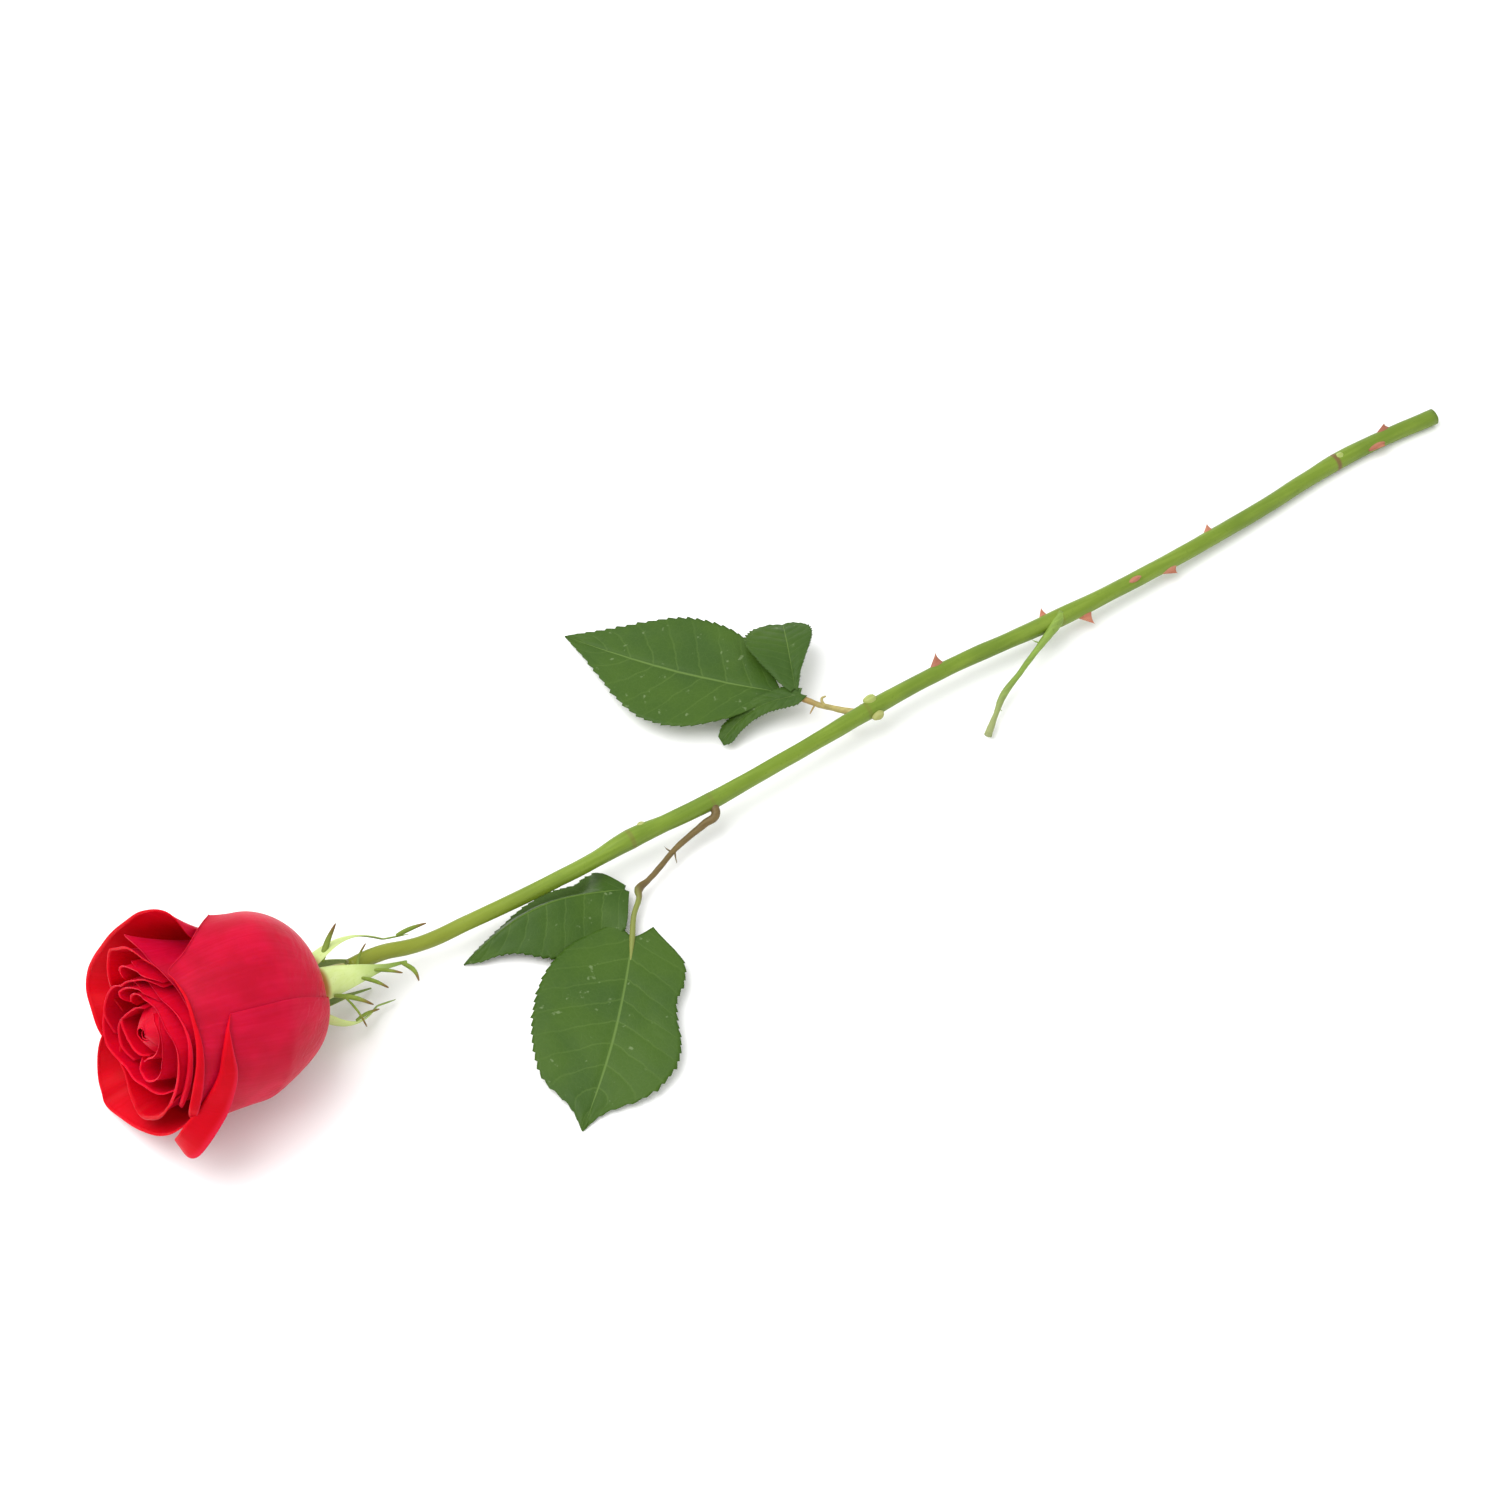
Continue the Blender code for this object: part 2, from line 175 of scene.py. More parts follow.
# Colour of a stalk at the stem and at the leaf, and the distances along x where it changes.
STALK_COLOURS = {
    "leaf_stalk_a": ((0.36, 0.3, 0.1), (0.3, 0.16, 0.05), 176.0, 169.0),
    "leaf_stalk_b": ((0.14, 0.095, 0.03), (0.2, 0.24, 0.05), 96.5, 92.5),
    "leaf_stalk_stub": ((0.17, 0.26, 0.04), (0.3, 0.33, 0.14), 232.0, 212.0),
}
# Spines, stipules and hairs on the stalks.
STALK_GROWTHS = {
    "leaf_stalk_a": (
        ((173.7, 9.9, 8.4, 0.4), (172.1, 9.1, 8.0, 0.28), (170.3, 8.0, 7.6, 0.06)),
        ((176.6, 5.7, 8.6, 0.5), (175.2, 7.4, 9.2, 0.45), (175.4, 9.4, 9.8, 0.4), (176.9, 9.4, 10.2, 0.25)),
    ),
    "leaf_stalk_b": (
        ((111.1, -9.8, 4.6, 0.35), (110.0, -11.9, 5.0, 0.2), (109.2, -13.9, 5.0, 0.05)),
        ((110.4, -9.8, 4.6, 0.35), (109.5, -8.6, 5.0, 0.2), (109.2, -6.8, 5.0, 0.05)),
    ),
    "leaf_stalk_stub": (
        ((244.4, -8.4, 7.0, 0.4), (243.1, -7.0, 7.3, 0.2), (242.3, -5.5, 7.3, 0.06)),
        ((220.9, -18.2, 3.4, 0.3), (221.0, -20.2, 3.6, 0.05)),
    ),
}

# Prickles: (distance along x, turn round the stem from straight up, height, length on the stem).
PRICKLES = (
    (211.5, 52.0, 3.2, 5.0),
    (250.0, 62.0, 2.2, 2.8),
    (262.5, -118.0, 3.6, 5.2),
    (282.0, -28.0, 0.9, 6.0),
    (295.0, -100.0, 1.9, 6.4),
    (314.0, 58.0, 1.9, 3.4),
    (381.0, -66.0, 1.5, 7.0),
    (386.0, 46.0, 1.5, 5.6),
)

# Side veins of a leaflet, and how far they slant towards the tip, as a share of its length.
SIDE_VEINS = 9
VEIN_SLANT = 0.16

# Each leaflet: half widths on its two sides at even steps from the base to the tip, base, tip,
# arch (how far the middle rises), sweep (how far the midrib bows sideways), slope of each side.
LEAFLETS = {
    "leaflet_a_end": (
        (0.5, 9.5, 15.4, 19.2, 20.4, 19.8, 16.8, 12.4, 7.8, 3.7, 0.0),
        (0.5, 9.5, 15.0, 18.6, 19.8, 19.4, 17.0, 12.8, 8.2, 3.9, 0.0),
        (166.8, 19.6, 7.8), (126.4, 77.8, 0.4), 1.4, -3.2, 3, 3,
    ),
    "leaflet_a_far": (
        (1.2, 4.2, 6.2, 8.2, 9.8, 11.2, 12.2, 12.4, 11.2, 9.0, 4.0),
        (0.6, 1.4, 2.2, 3.4, 4.6, 5.8, 6.8, 7.6, 7.6, 6.6, 3.0),
        (170.7, 16.8, 9.9), (181.8, 40.4, 8.0), 2.6, 0.0, 5, 8,
    ),
    "leaflet_a_near": (
        (1.4, 3.2, 3.2, 3.0, 2.8, 2.7, 2.6, 2.6, 2.7, 2.9, 1.6),
        (1.4, 3.3, 3.3, 3.0, 2.8, 2.7, 2.6, 2.6, 2.7, 2.9, 1.6),
        (171.3, 14.4, 9.6), (144.3, 16.9, 3.0), 1.5, 2.9, -14, 4,
    ),
    "leaflet_b_end": (
        (5.0, 14.6, 16.4, 15.2, 16.4, 18.8, 19.4, 17.6, 13.0, 4.0, 0.0),
        (5.0, 15.6, 20.6, 23.2, 24.0, 23.6, 22.2, 19.4, 15.0, 5.4, 0.0),
        (85.5, -27.4, 3.2), (41.0, -72.4, 0.4), 1.4, -2.2, 3, 3,
    ),
    "leaflet_b_side": (
        (1.0, 12.0, 15.0, 17.0, 17.8, 16.4, 13.0, 8.6, 5.4, 3.2, 0.0),
        (1.0, 9.5, 14.0, 15.0, 15.0, 13.4, 11.0, 8.0, 5.4, 3.2, 0.0),
        (91.8, -13.2, 4.4), (40.6, -7.6, 0.9), 5.8, 3.6, -22, -58,
    ),
}

# The camera: the floor point it looks at, its turn round the rose, its height angle and distance.
CAMERA_TARGET = Vector((150.95, 11.19, 0.0))
CAMERA_AZIMUTH = math.radians(33.0)
CAMERA_ELEVATION = math.radians(55.0)
CAMERA_DISTANCE = 1062.5


class RoseBloomSettings(bpy.types.PropertyGroup):
    """Sizes and colours of the bloom."""

    petal_thickness: FloatProperty(
        name="Petal thickness", description="Thickness of a petal", default=0.00026, unit="LENGTH"
    )
    ripple: FloatProperty(
        name="Ripple", description="Height of the soft waves in a petal, in mm", default=0.3
    )
    back_colour: FloatVectorProperty(
        name="Petal back", description="Outer side of the petals",
        default=(0.5, 0.001, 0.026), subtype="COLOR"
    )
    face_colour: FloatVectorProperty(
        name="Petal face", description="Inner side of the petals",
        default=(0.54, 0.0005, 0.008), subtype="COLOR"
    )
    # The heart colour is brighter than the outer petals: painted light standing for the glow through the thin
    # heart petals.
    heart_colour: FloatVectorProperty(
        name="Heart", description="Petals in the heart of the bloom",
        default=(0.58, 0.001, 0.018), subtype="COLOR"
    )
    sepal_colour: FloatVectorProperty(
        name="Sepals", description="Pale inner side of the sepals",
        default=(0.56, 0.68, 0.25), subtype="COLOR"
    )


class RoseStemSettings(bpy.types.PropertyGroup):
    """Colours of the stem and what grows on it."""

    stem_colour: FloatVectorProperty(
        name="Stem", description="Skin of the stem", default=(0.145, 0.225, 0.014), subtype="COLOR"
    )
    neck_colour: FloatVectorProperty(
        name="Neck", description="Skin of the stem below the bloom",
        default=(0.22, 0.245, 0.02), subtype="COLOR"
    )
    prickle_colour: FloatVectorProperty(
        name="Prickles", description="Skin of the prickles", default=(0.42, 0.14, 0.08), subtype="COLOR"
    )


class RoseLeafSettings(bpy.types.PropertyGroup):
    """Sizes and colours of the leaflets."""

    thickness: FloatProperty(
        name="Leaf thickness", description="Thickness of a leaflet", default=0.0004, unit="LENGTH"
    )
    teeth: IntProperty(name="Teeth", description="Teeth on each side of a leaflet", default=25, min=5)
    tooth_size: FloatProperty(
        name="Tooth size", description="How far a tooth stands out, in mm", default=0.6, min=0.0
    )
    top_colour: FloatVectorProperty(
        name="Leaf top", description="Upper side of the leaflets",
        default=(0.042, 0.094, 0.005), subtype="COLOR"
    )
    under_colour: FloatVectorProperty(
        name="Leaf underside", description="Lower side of the leaflets",
        default=(0.17, 0.23, 0.1), subtype="COLOR"
    )


class RoseStageSettings(bpy.types.PropertyGroup):
    """Light and camera."""

    lamp_power: FloatProperty(
        name="Lamp", description="Power of the soft lamp", default=13.0, unit="POWER"
    )
    sky_light: FloatProperty(name="Sky", description="Strength of the even light", default=1.02)
    lens: FloatProperty(name="Lens", description="Focal length in mm", default=85.0, min=10.0)


# --- shared shapes --------------------------------------------------------------------------------


def clamp(value, low=0.0, high=1.0):
    return max(low, min(high, value))


def smooth(value):
    value = clamp(value)
    return value * value * (3.0 - 2.0 * value)


def between(table, place):
    """The value at a place from 0 to 1 along an evenly spaced table, along a smooth curve."""
    last = len(table) - 1
    place = clamp(place)
    index = min(int(place * last), last - 1)
    part = place * last - index
    left, right = table[index], table[index + 1]
    slope_left = (right - table[max(index - 1, 0)]) / (1.0 if index == 0 else 2.0)
    slope_right = (table[min(index + 2, last)] - left) / (1.0 if index == last - 1 else 2.0)
    return (
        left * (1 + 2 * part) * (1 - part) ** 2
        + right * part * part * (3 - 2 * part)
        + slope_left * part * (1 - part) ** 2
        - slope_right * part * part * (1 - part)
    )


def bloom_point(radius, turn, height):
    """A point of the bloom from its cylinder coordinates; turn is in degrees from straight up."""
    angle = math.radians(turn)
    return BLOOM_FOOT + AXIS * height + (UP * math.cos(angle) + SIDE * math.sin(angle)) * radius


def add_sheet(bm, across, along, place):
    """Adds a bent sheet: a grid whose points are set by place(s, t), s from -1 to 1, t from 0 to 1."""
    spread = bm.loops.layers.uv.verify()
    made = bmesh.ops.create_grid(bm, x_segments=across, y_segments=along, size=1.0)
    faces = {face for vert in made["verts"] for face in vert.link_faces}
    for face in faces:
        for loop in face.loops:
            loop[spread].uv = ((loop.vert.co.x + 1.0) / 2.0, (loop.vert.co.y + 1.0) / 2.0)
    for vert in made["verts"]:
        vert.co = place(vert.co.x, (vert.co.y + 1.0) / 2.0)
    return faces


def put(name, bm, materials, node=None):
    """Writes the bmesh, still in millimetres, as a piece of the rose, and hides the node it stands for."""
    for vert in bm.verts:
        vert.co = (vert.co + SHIFT) * MM
    mesh = bpy.data.meshes.new(name)
    bm.to_mesh(mesh)
    bm.free()
    for face in mesh.polygons:
        face.use_smooth = True
    for layer in mesh.uv_layers:
        layer.name = UV_NAME
    piece = bpy.data.objects.new(name, mesh)
    bpy.context.scene.collection.objects.link(piece)
    for material in materials:
        mesh.materials.append(material)
    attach(piece, BODY)
    if node:
        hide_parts(node)
    return piece


def thicken(piece, thickness, rounded):
    """Gives a sheet its thickness, its second material on the far side, and soft edges."""
    solid = piece.modifiers.new("Thickness", "SOLIDIFY")
    solid.thickness = thickness
    solid.offset = 0.0
    solid.use_even_offset = False
    solid.material_offset = 1
    inner = piece.vertex_groups.new(name="Inner part")
    for loop, spread in zip(piece.data.loops, piece.data.uv_layers[0].uv):
        across, along = spread.vector
        edge = min(across, 1.0 - across, 1.0 - along)
        inner.add([loop.vertex_index], smooth(edge / THIN_EDGE), "REPLACE")
    solid.vertex_group = inner.name
    solid.thickness_vertex_group = EDGE_THICKNESS
    if rounded:
        soft = piece.modifiers.new("Soft edges", "SUBSURF")
        soft.levels = soft.render_levels = 1


def turned(profile, steps):
    """A closed bmesh made by turning a profile of (radius, height) points about Z."""
    bm = bmesh.new()
    points = [bm.verts.new((radius, 0.0, height)) for radius, height in profile]
    edges = [bm.edges.new(pair) for pair in zip(points, points[1:])]
    bmesh.ops.spin(
        bm,
        geom=points + edges,
        cent=(0, 0, 0),
        axis=(0, 0, 1),
        angle=2 * math.pi,
        steps=steps,
        use_merge=True,
    )
    bmesh.ops.remove_doubles(bm, verts=bm.verts, dist=0.001)
    bmesh.ops.recalc_face_normals(bm, faces=bm.faces)
    return bm


def tube(lines, sides, steps):
    """A bmesh of round shoots along lines of (x, y, z, radius) points, with closed ends."""
    curve = bpy.data.curves.new("shoot", "CURVE")
    curve.dimensions = "3D"
    curve.bevel_depth = 1.0
    curve.bevel_resolution = (sides - 4) // 2
    curve.resolution_u = steps
    curve.use_fill_caps = True
    for line in lines:
        spline = curve.splines.new("BEZIER")
        spline.bezier_points.add(len(line) - 1)
        for point, (x, y, z, radius) in zip(spline.bezier_points, line):
            point.co = (x, y, z)
            point.radius = radius
            point.handle_left_type = point.handle_right_type = "AUTO"
    guide = bpy.data.objects.new("shoot", curve)
    bpy.context.scene.collection.objects.link(guide)
    graph = bpy.context.evaluated_depsgraph_get()
    mesh = bpy.data.meshes.new_from_object(guide.evaluated_get(graph))
    bm = bmesh.new()
    bm.from_mesh(mesh)
    bmesh.ops.remove_doubles(bm, verts=bm.verts, dist=0.001)
    bmesh.ops.recalc_face_normals(bm, faces=bm.faces)
    bpy.data.objects.remove(guide)
    bpy.data.curves.remove(curve)
    bpy.data.meshes.remove(mesh)
    return bm


def roughen(bm, height, scale):
    """Moves the points of a shoot in and out a little, as its ridges and dents do."""
    bm.normal_update()
    for vert in bm.verts:
        place = Vector((vert.co.x * 0.25, vert.co.y, vert.co.z)) * scale
        vert.co += vert.normal * (height * noise.noise(place))


# --- shared shader parts --------------------------------------------------------------------------


def add_node(tree, kind, inputs=None, **settings):
    """Adds a node; an input is a value or the output socket that feeds it."""
    made = tree.nodes.new(kind)
    for key, value in settings.items():
        setattr(made, key, value)
    for key, value in (inputs or {}).items():
        if isinstance(value, bpy.types.NodeSocket):
            tree.links.new(value, made.inputs[key])
        else:
            made.inputs[key].default_value = value
    return made


def maths(tree, operation, first, second=0.0):
    return add_node(tree, "ShaderNodeMath", {0: first, 1: second}, operation=operation).outputs[0]


def blend_colours(tree, share, first, second):
    first = first if isinstance(first, bpy.types.NodeSocket) else (*first, 1.0)
    second = second if isinstance(second, bpy.types.NodeSocket) else (*second, 1.0)
    return add_node(tree, "ShaderNodeMix", {0: share, 6: first, 7: second}, data_type="RGBA").outputs[2]


def spots(tree, vector, scale, detail=3.0):
    """Cloudy noise from 0 to 1."""
    return add_node(
        tree, "ShaderNodeTexNoise", {"Vector": vector, "Scale": scale, "Detail": detail}
    ).outputs[0]


def stretched(tree, vector, scale):
    return add_node(tree, "ShaderNodeMapping", {"Vector": vector, "Scale": scale}).outputs[0]


def step_up(tree, value, low, high):
    """0 below low, 1 above high, smooth between."""
    inputs = {"Value": value, "From Min": low, "From Max": high}
    return add_node(tree, "ShaderNodeMapRange", inputs, interpolation_type="SMOOTHSTEP").outputs[0]


def new_group(name, outputs):
    """A shader node group that takes nothing in; returns its tree and its output node."""
    tree = bpy.data.node_groups.new(name, "ShaderNodeTree")
    for output in outputs:
        tree.interface.new_socket(name=output, in_out="OUTPUT", socket_type="NodeSocketFloat")
    return tree, tree.nodes.new("NodeGroupOutput")


def use_group(tree, group):
    made = tree.nodes.new("ShaderNodeGroup")
    made.node_tree = group
    return made


def new_material(name, roughness, gloss):
    """A material with a Principled shader; gloss is its specular level."""
    made = bpy.data.materials.new(name)
    made.use_nodes = True
    tree = made.node_tree
    shader = tree.nodes["Principled BSDF"]
    shader.inputs["Roughness"].default_value = roughness
    shader.inputs["Specular IOR Level"].default_value = gloss
    return made, tree, shader


def bump(tree, shader, height, distance):
    made = add_node(tree, "ShaderNodeBump", {"Height": height, "Distance": distance, "Strength": 1.0})
    tree.links.new(made.outputs[0], shader.inputs["Normal"])


# --- the bloom ------------------------------------------------------------------------------------


def foot_lift(layer):
    """Angle up the dome at which the petal of a layer stands."""
    return math.radians(84.0 - 90.0 * layer)


# The petals from the outside in. rim: points (turn, radius, height) along the line where the rim
# folds, turn in degrees from straight up towards the far side. lips: length of rim beyond the fold,
# and bends: how far it rolls outwards, in degrees, both at even steps along the rim. foot: share of
# the width that is left at the foot. closing: how sharply a petal leans in above the belly. bulge:
# how far the belly swells near BULGE_TURN. belly: its widest radius, where a row gives one.
PLAIN = {"lips": (0.7, 0.7), "bends": (50.0, 50.0), "foot": 0.45, "closing": 1.8, "bulge": 0.0}
PETALS = (
    {"rim": ((-134, 30, 47), (-124, 29.5, 49.5), (-113, 27.8, 49.5), (-101, 25.3, 46), (-90, 24, 43.3),
             (-73, 22.9, 41.2), (-56, 22.6, 39.8), (-37, 22.9, 37)),
     "lips": (4.5, 8.5, 9.5, 9.0, 8.0, 6.0, 3.4, 0.5),
     "bends": (112, 120, 135, 150, 160, 165, 165, 120), "foot": 0.72},
    {"rim": ((-128, 24, 43), (-103, 24.8, 48.5), (-90, 22.4, 48), (-76, 20.2, 47), (-58, 19, 46.3),
             (-38, 18.2, 46), (-15, 18.7, 46.2), (0, 19.8, 46.8), (8, 21.2, 48), (13, 24.4, 42.2),
             (24, 27.2, 35.2), (35, 28.4, 28.5)),
     "lips": (1.5, 3.6, 4.0, 3.6, 3.0, 2.2, 1.6, 1.0, 0.6, 0.8, 0.8, 0.5),
     "bends": (120, 150, 160, 165, 168, 165, 150, 100, 60, 90, 90, 60), "foot": 0.6, "bulge": 2.8},
    {"rim": ((-222, 24, 35), (-196, 26, 39), (-168, 26.5, 41), (-140, 25.5, 39), (-114, 23.5, 35))},
    {"rim": ((20, 22.5, 33), (24, 26, 38), (28, 32.6, 42.6), (46, 31.8, 45.2), (64, 30, 46.6),
             (86, 30.6, 47.5), (100, 32.6, 48), (110, 34.4, 48), (119, 34.2, 48.2), (127, 31, 49),
             (140, 29, 48), (152, 27, 45)),
     "lips": (0.5, 1.4, 1.6, 1.2), "bends": (60, 75, 75, 50)},
    {"rim": ((128, 24, 46), (140, 26, 50), (156, 34.8, 49.5), (165, 36.6, 49.5), (171, 37.8, 49.5),
             (184, 33.8, 49.5), (202, 30.4, 49.5), (217, 29.2, 49), (230, 28, 48), (242, 26, 45)),
     "lips": (0.6, 1.2, 1.2, 0.8), "bends": (50, 70, 70, 50)},
    {"rim": ((-60, 16.5, 43), (-38, 16.4, 44.5), (-16, 17.2, 45.8), (0, 17.8, 46.8), (15, 18.8, 48),
             (28, 20.4, 49), (40, 23.2, 49.8), (51, 27, 50.6), (56, 25.6, 46), (58, 24, 40)),
     "lips": (0.5, 0.8, 0.8, 0.3)},
    {"rim": ((10, 18, 46), (22, 19.3, 48.5), (34, 20.6, 50), (52, 22.9, 50.2), (66, 24, 50.2),
             (76, 25.4, 50), (86, 24, 50), (97, 21, 50), (112, 20.5, 48.5), (124, 20, 46)),
     "lips": (0.5, 1.1, 1.1, 0.5), "bends": (50, 80, 80, 50)},
    {"rim": ((140, 21.5, 46), (159, 20.3, 50), (172, 19.8, 50.5), (183, 21.8, 50.5), (192, 24, 50.3),
             (199, 26, 50), (211, 24.5, 50), (225, 22.6, 50), (243, 20, 49.5), (256, 19, 46)),
     "lips": (0.5, 0.7, 2.0, 1.8, 0.6), "bends": (50, 60, 120, 120, 50)},
    {"rim": ((-140, 21, 44), (-122, 21, 46), (-105, 19.2, 46), (-88, 17.2, 45.3), (-70, 15.6, 44.5),
             (-50, 14.6, 43))},
    {"rim": ((-130, 20.6, 45), (-114, 20.8, 47.8), (-94, 18.2, 47.6), (-70, 16.7, 47.5),
             (-52, 16.7, 47.5), (-34, 15.2, 47.4), (-14, 12.3, 47.6), (8, 11.2, 48.3),
             (33, 13.3, 48.6), (50, 17, 49), (56, 19.6, 49.4), (60, 18.6, 46)),
     "lips": (2.0, 2.8, 1.8, 0.6, 0.6, 0.5), "bends": (140, 150, 120, 50, 50, 50)},
    {"rim": ((112, 21.6, 48), (125, 22.4, 50.6), (143, 23.2, 51), (151, 21.6, 51), (161, 19.2, 51),
             (172, 17, 51), (187, 16.8, 51), (206, 15.9, 50.8), (232, 17.2, 50), (246, 17, 47))},
    {"rim": ((14, 13.8, 47), (30, 14.8, 50), (48, 14.2, 50.8), (66, 14.7, 51), (81, 15.5, 51),
             (92, 17.9, 51), (111, 20.6, 51), (125, 21.6, 50.8), (140, 21, 48.5))},
    {"rim": ((-138, 20.2, 46), (-122, 19.9, 49.3), (-97, 17, 49.5), (-78, 15.6, 49.6),
             (-65, 14.6, 49.6), (-56, 13, 49.6), (-36, 9.6, 49.8), (0, 8.9, 49.8), (24, 9.8, 50),
             (38, 11, 50), (52, 13, 50), (62, 15, 50.2), (68, 14.6, 48)),
     "lips": (1.4, 1.8, 0.8, 0.5, 0.5, 0.4), "bends": (130, 140, 60, 50, 50, 50)},
    {"rim": ((16, 15, 47), (30, 15.9, 50.6), (41, 16.9, 51), (54, 18, 51), (65, 19.2, 51),
             (71, 18.8, 51), (76, 17, 50), (84, 16.4, 47))},
    {"rim": ((10, 9.8, 48), (29, 11, 50.8), (39, 11.7, 51), (57, 12.4, 51.2), (81, 14.2, 51.2),
             (88, 14.6, 51.2), (93, 13.6, 51), (96, 12, 49))},
    {"rim": ((-10, 8.4, 49), (20, 9.6, 51), (35, 10.1, 51.2), (52, 10.7, 51.3), (64, 10.6, 51.3),
             (74, 9.6, 51), (80, 8.6, 49.5))},
    {"rim": ((40, 6.4, 50.5), (86, 7.6, 51.3), (109, 9.8, 51.3), (124, 12.8, 51), (135, 14.3, 51),
             (153, 15.6, 50.5), (170, 15.4, 48.5))},
    {"rim": ((-175, 9.4, 49.5), (-165, 10.8, 51), (-159, 12.6, 51), (-144, 13.6, 51), (-108, 11.8, 51),
             (-91, 10.1, 51), (-46, 8.6, 51), (-20, 8, 50), (0, 7.6, 48.5))},
    {"rim": ((-159, 8.6, 50.6), (-133, 6.9, 51), (-74, 7.3, 51.2), (-55, 7.9, 51.2), (-41, 7.7, 51.2),
             (-17, 6.8, 51), (10, 6.2, 49.5))},
    {"rim": ((112, 11.6, 49.5), (123, 12, 51), (140, 10.8, 51), (160, 9.4, 51), (186, 8.2, 50.5),
             (200, 7.6, 48.5))},
)
HEART_PETALS = 7
GOLDEN = 137.5


def petal_table():
    """Every petal from the outside in, with its layer; the last ones close the heart in a spiral."""
    rows = [dict(PLAIN, **row) for row in PETALS]
    for count in range(HEART_PETALS):
        middle = 100.0 - GOLDEN * count
        radius = 1.7 - 0.15 * count
        rim = [
            (middle + 150.0 * side, radius + 0.8 * side, 52.4 - 0.4 * count - 1.6 * side**2)
            for side in (-1.0, -0.6, -0.25, 0.0, 0.25, 0.6, 1.0)
        ]
        rows.append(dict(PLAIN, rim=rim, lips=(0.3, 0.3), closing=6.0, belly=9.8 - 0.9 * count))
    layer = OUTERMOST_LAYER
    for count, row in enumerate(rows):
        row.update(count=count, layer=layer)
        layer -= OUTER_STEP if count < OUTER_PETALS else INNER_STEP
    return rows


def petal_place(row, ripple):
    """The function that sets the points of one petal."""
    columns = list(zip(*row["rim"]))
    middle = (columns[0][0] + columns[0][-1]) / 2.0
    outer = row["count"] < OUTER_PETALS
    loose = 1.0 if outer else 0.5
    foot_radius = DOME_RADIUS * math.cos(foot_lift(row["layer"]))
    bottom = DOME_HEIGHT * math.sin(foot_lift(row["layer"]))
    most = CORE_RADIUS + (BELLY_RADIUS - CORE_RADIUS) * row["layer"] if outer else INNER_BELLY
    belly_height = BELLY_HEIGHT + 6.0 * (1.0 - row["layer"])

    def width(share):
        return row["foot"] + (1.0 - row["foot"]) * math.sin(math.pi / 2 * clamp(share / 0.7))

    def wave(s, t, pitch):
        return noise.noise(Vector((s * pitch, t * pitch * 0.5, 7.3 * row["count"])))

    def place(s, t):
        across = (s + 1.0) / 2.0
        rim_turn, rim_radius, rim_height = (between(column, across) for column in columns)
        rim_height += 0.35 * loose * wave(s, 0.0, 4.0)
        share = min(t / FOLD_AT, 1.0)
        turn = middle + (rim_turn - middle) * width(share)
        height = bottom + (rim_height - bottom) * share**1.25
        belly = most if outer else min(most, row.get("belly", 0.9 * rim_radius + 3.5))
        belly += row["bulge"] * math.exp(-(((turn - BULGE_TURN) / BULGE_WIDTH) ** 2))
        if height < belly_height:
            level = clamp((height - bottom) / (belly_height - bottom))
            hollow = HOLLOW_DEPTH * (1 + math.cos(math.radians(turn - HOLLOW_TURN))) * math.sin(math.pi * level)
            radius = foot_radius + (belly - foot_radius) * (math.sqrt(1 - (1 - level) ** 2) - hollow)
        else:
            level = (height - belly_height) / (rim_height - belly_height)
            radius = belly + (rim_radius - belly) * level ** row["closing"]
        radius += ripple * loose * wave(s, t, 1.9) * smooth(t * 3.0)
        if t > FOLD_AT:
            # The rim turns over in a tight arc, then runs on straight.
            part = (t - FOLD_AT) / (1.0 - FOLD_AT)
            lip = between(row["lips"], across)
            bend = math.radians(between(row["bends"], across))
            tight = min(FOLD_RADIUS, 0.5 * lip)
            angle = bend * clamp(part / 0.5)
            run = max(0.0, lip - tight * bend) * clamp((part - 0.5) / 0.5)
            height += tight * math.sin(angle) + run * math.cos(bend)
            radius += tight * (1.0 - math.cos(angle)) + run * math.sin(bend)
        return bloom_point(radius, turn, height)

    return place


def petal_tissue():
    """Group: fine veins that run up the petal, cloudy patches, and a mask of the rim where a highlight is
    painted.
    """
    tree, out = new_group("Petal tissue", ("Veins", "Patches", "Rim highlight", "Height"))
    uv = add_node(tree, "ShaderNodeUVMap", uv_map=UV_NAME).outputs[0]
    along = add_node(tree, "ShaderNodeSeparateXYZ", {0: uv}).outputs[1]
    # Mask of the outer rim, where a lighter colour is painted as the highlight the rolled rim would catch.
    tree.links.new(step_up(tree, along, 0.965, 0.998), out.inputs["Rim highlight"])
    where = add_node(tree, "ShaderNodeTexCoord").outputs["Object"]
    veins = spots(tree, stretched(tree, uv, (70.0, 4.0, 1.0)), 1.0, 4.0)
    patches = spots(tree, where, 90.0, 3.0)
    grain = spots(tree, where, 2600.0, 2.0)
    tree.links.new(step_up(tree, veins, 0.35, 0.7), out.inputs["Veins"])
    tree.links.new(step_up(tree, patches, 0.3, 0.7), out.inputs["Patches"])
    height = maths(tree, "ADD", veins, maths(tree, "MULTIPLY", grain, 0.35))
    # The petals crinkle towards the foot.
    foot = maths(tree, "SUBTRACT", 1.0, step_up(tree, along, 0.1, 0.62))
    crinkle = stretched(tree, where, (1.0, 0.6, 1.6))
    folds = {"Vector": crinkle, "Scale": 210.0, "Detail": 4.0, "Distortion": 1.6}
    creases = add_node(tree, "ShaderNodeTexNoise", folds).outputs[0]
    creases = maths(tree, "MULTIPLY", maths(tree, "MULTIPLY", creases, foot), 7.0)
    tree.links.new(maths(tree, "ADD", height, creases), out.inputs["Height"])
    return tree


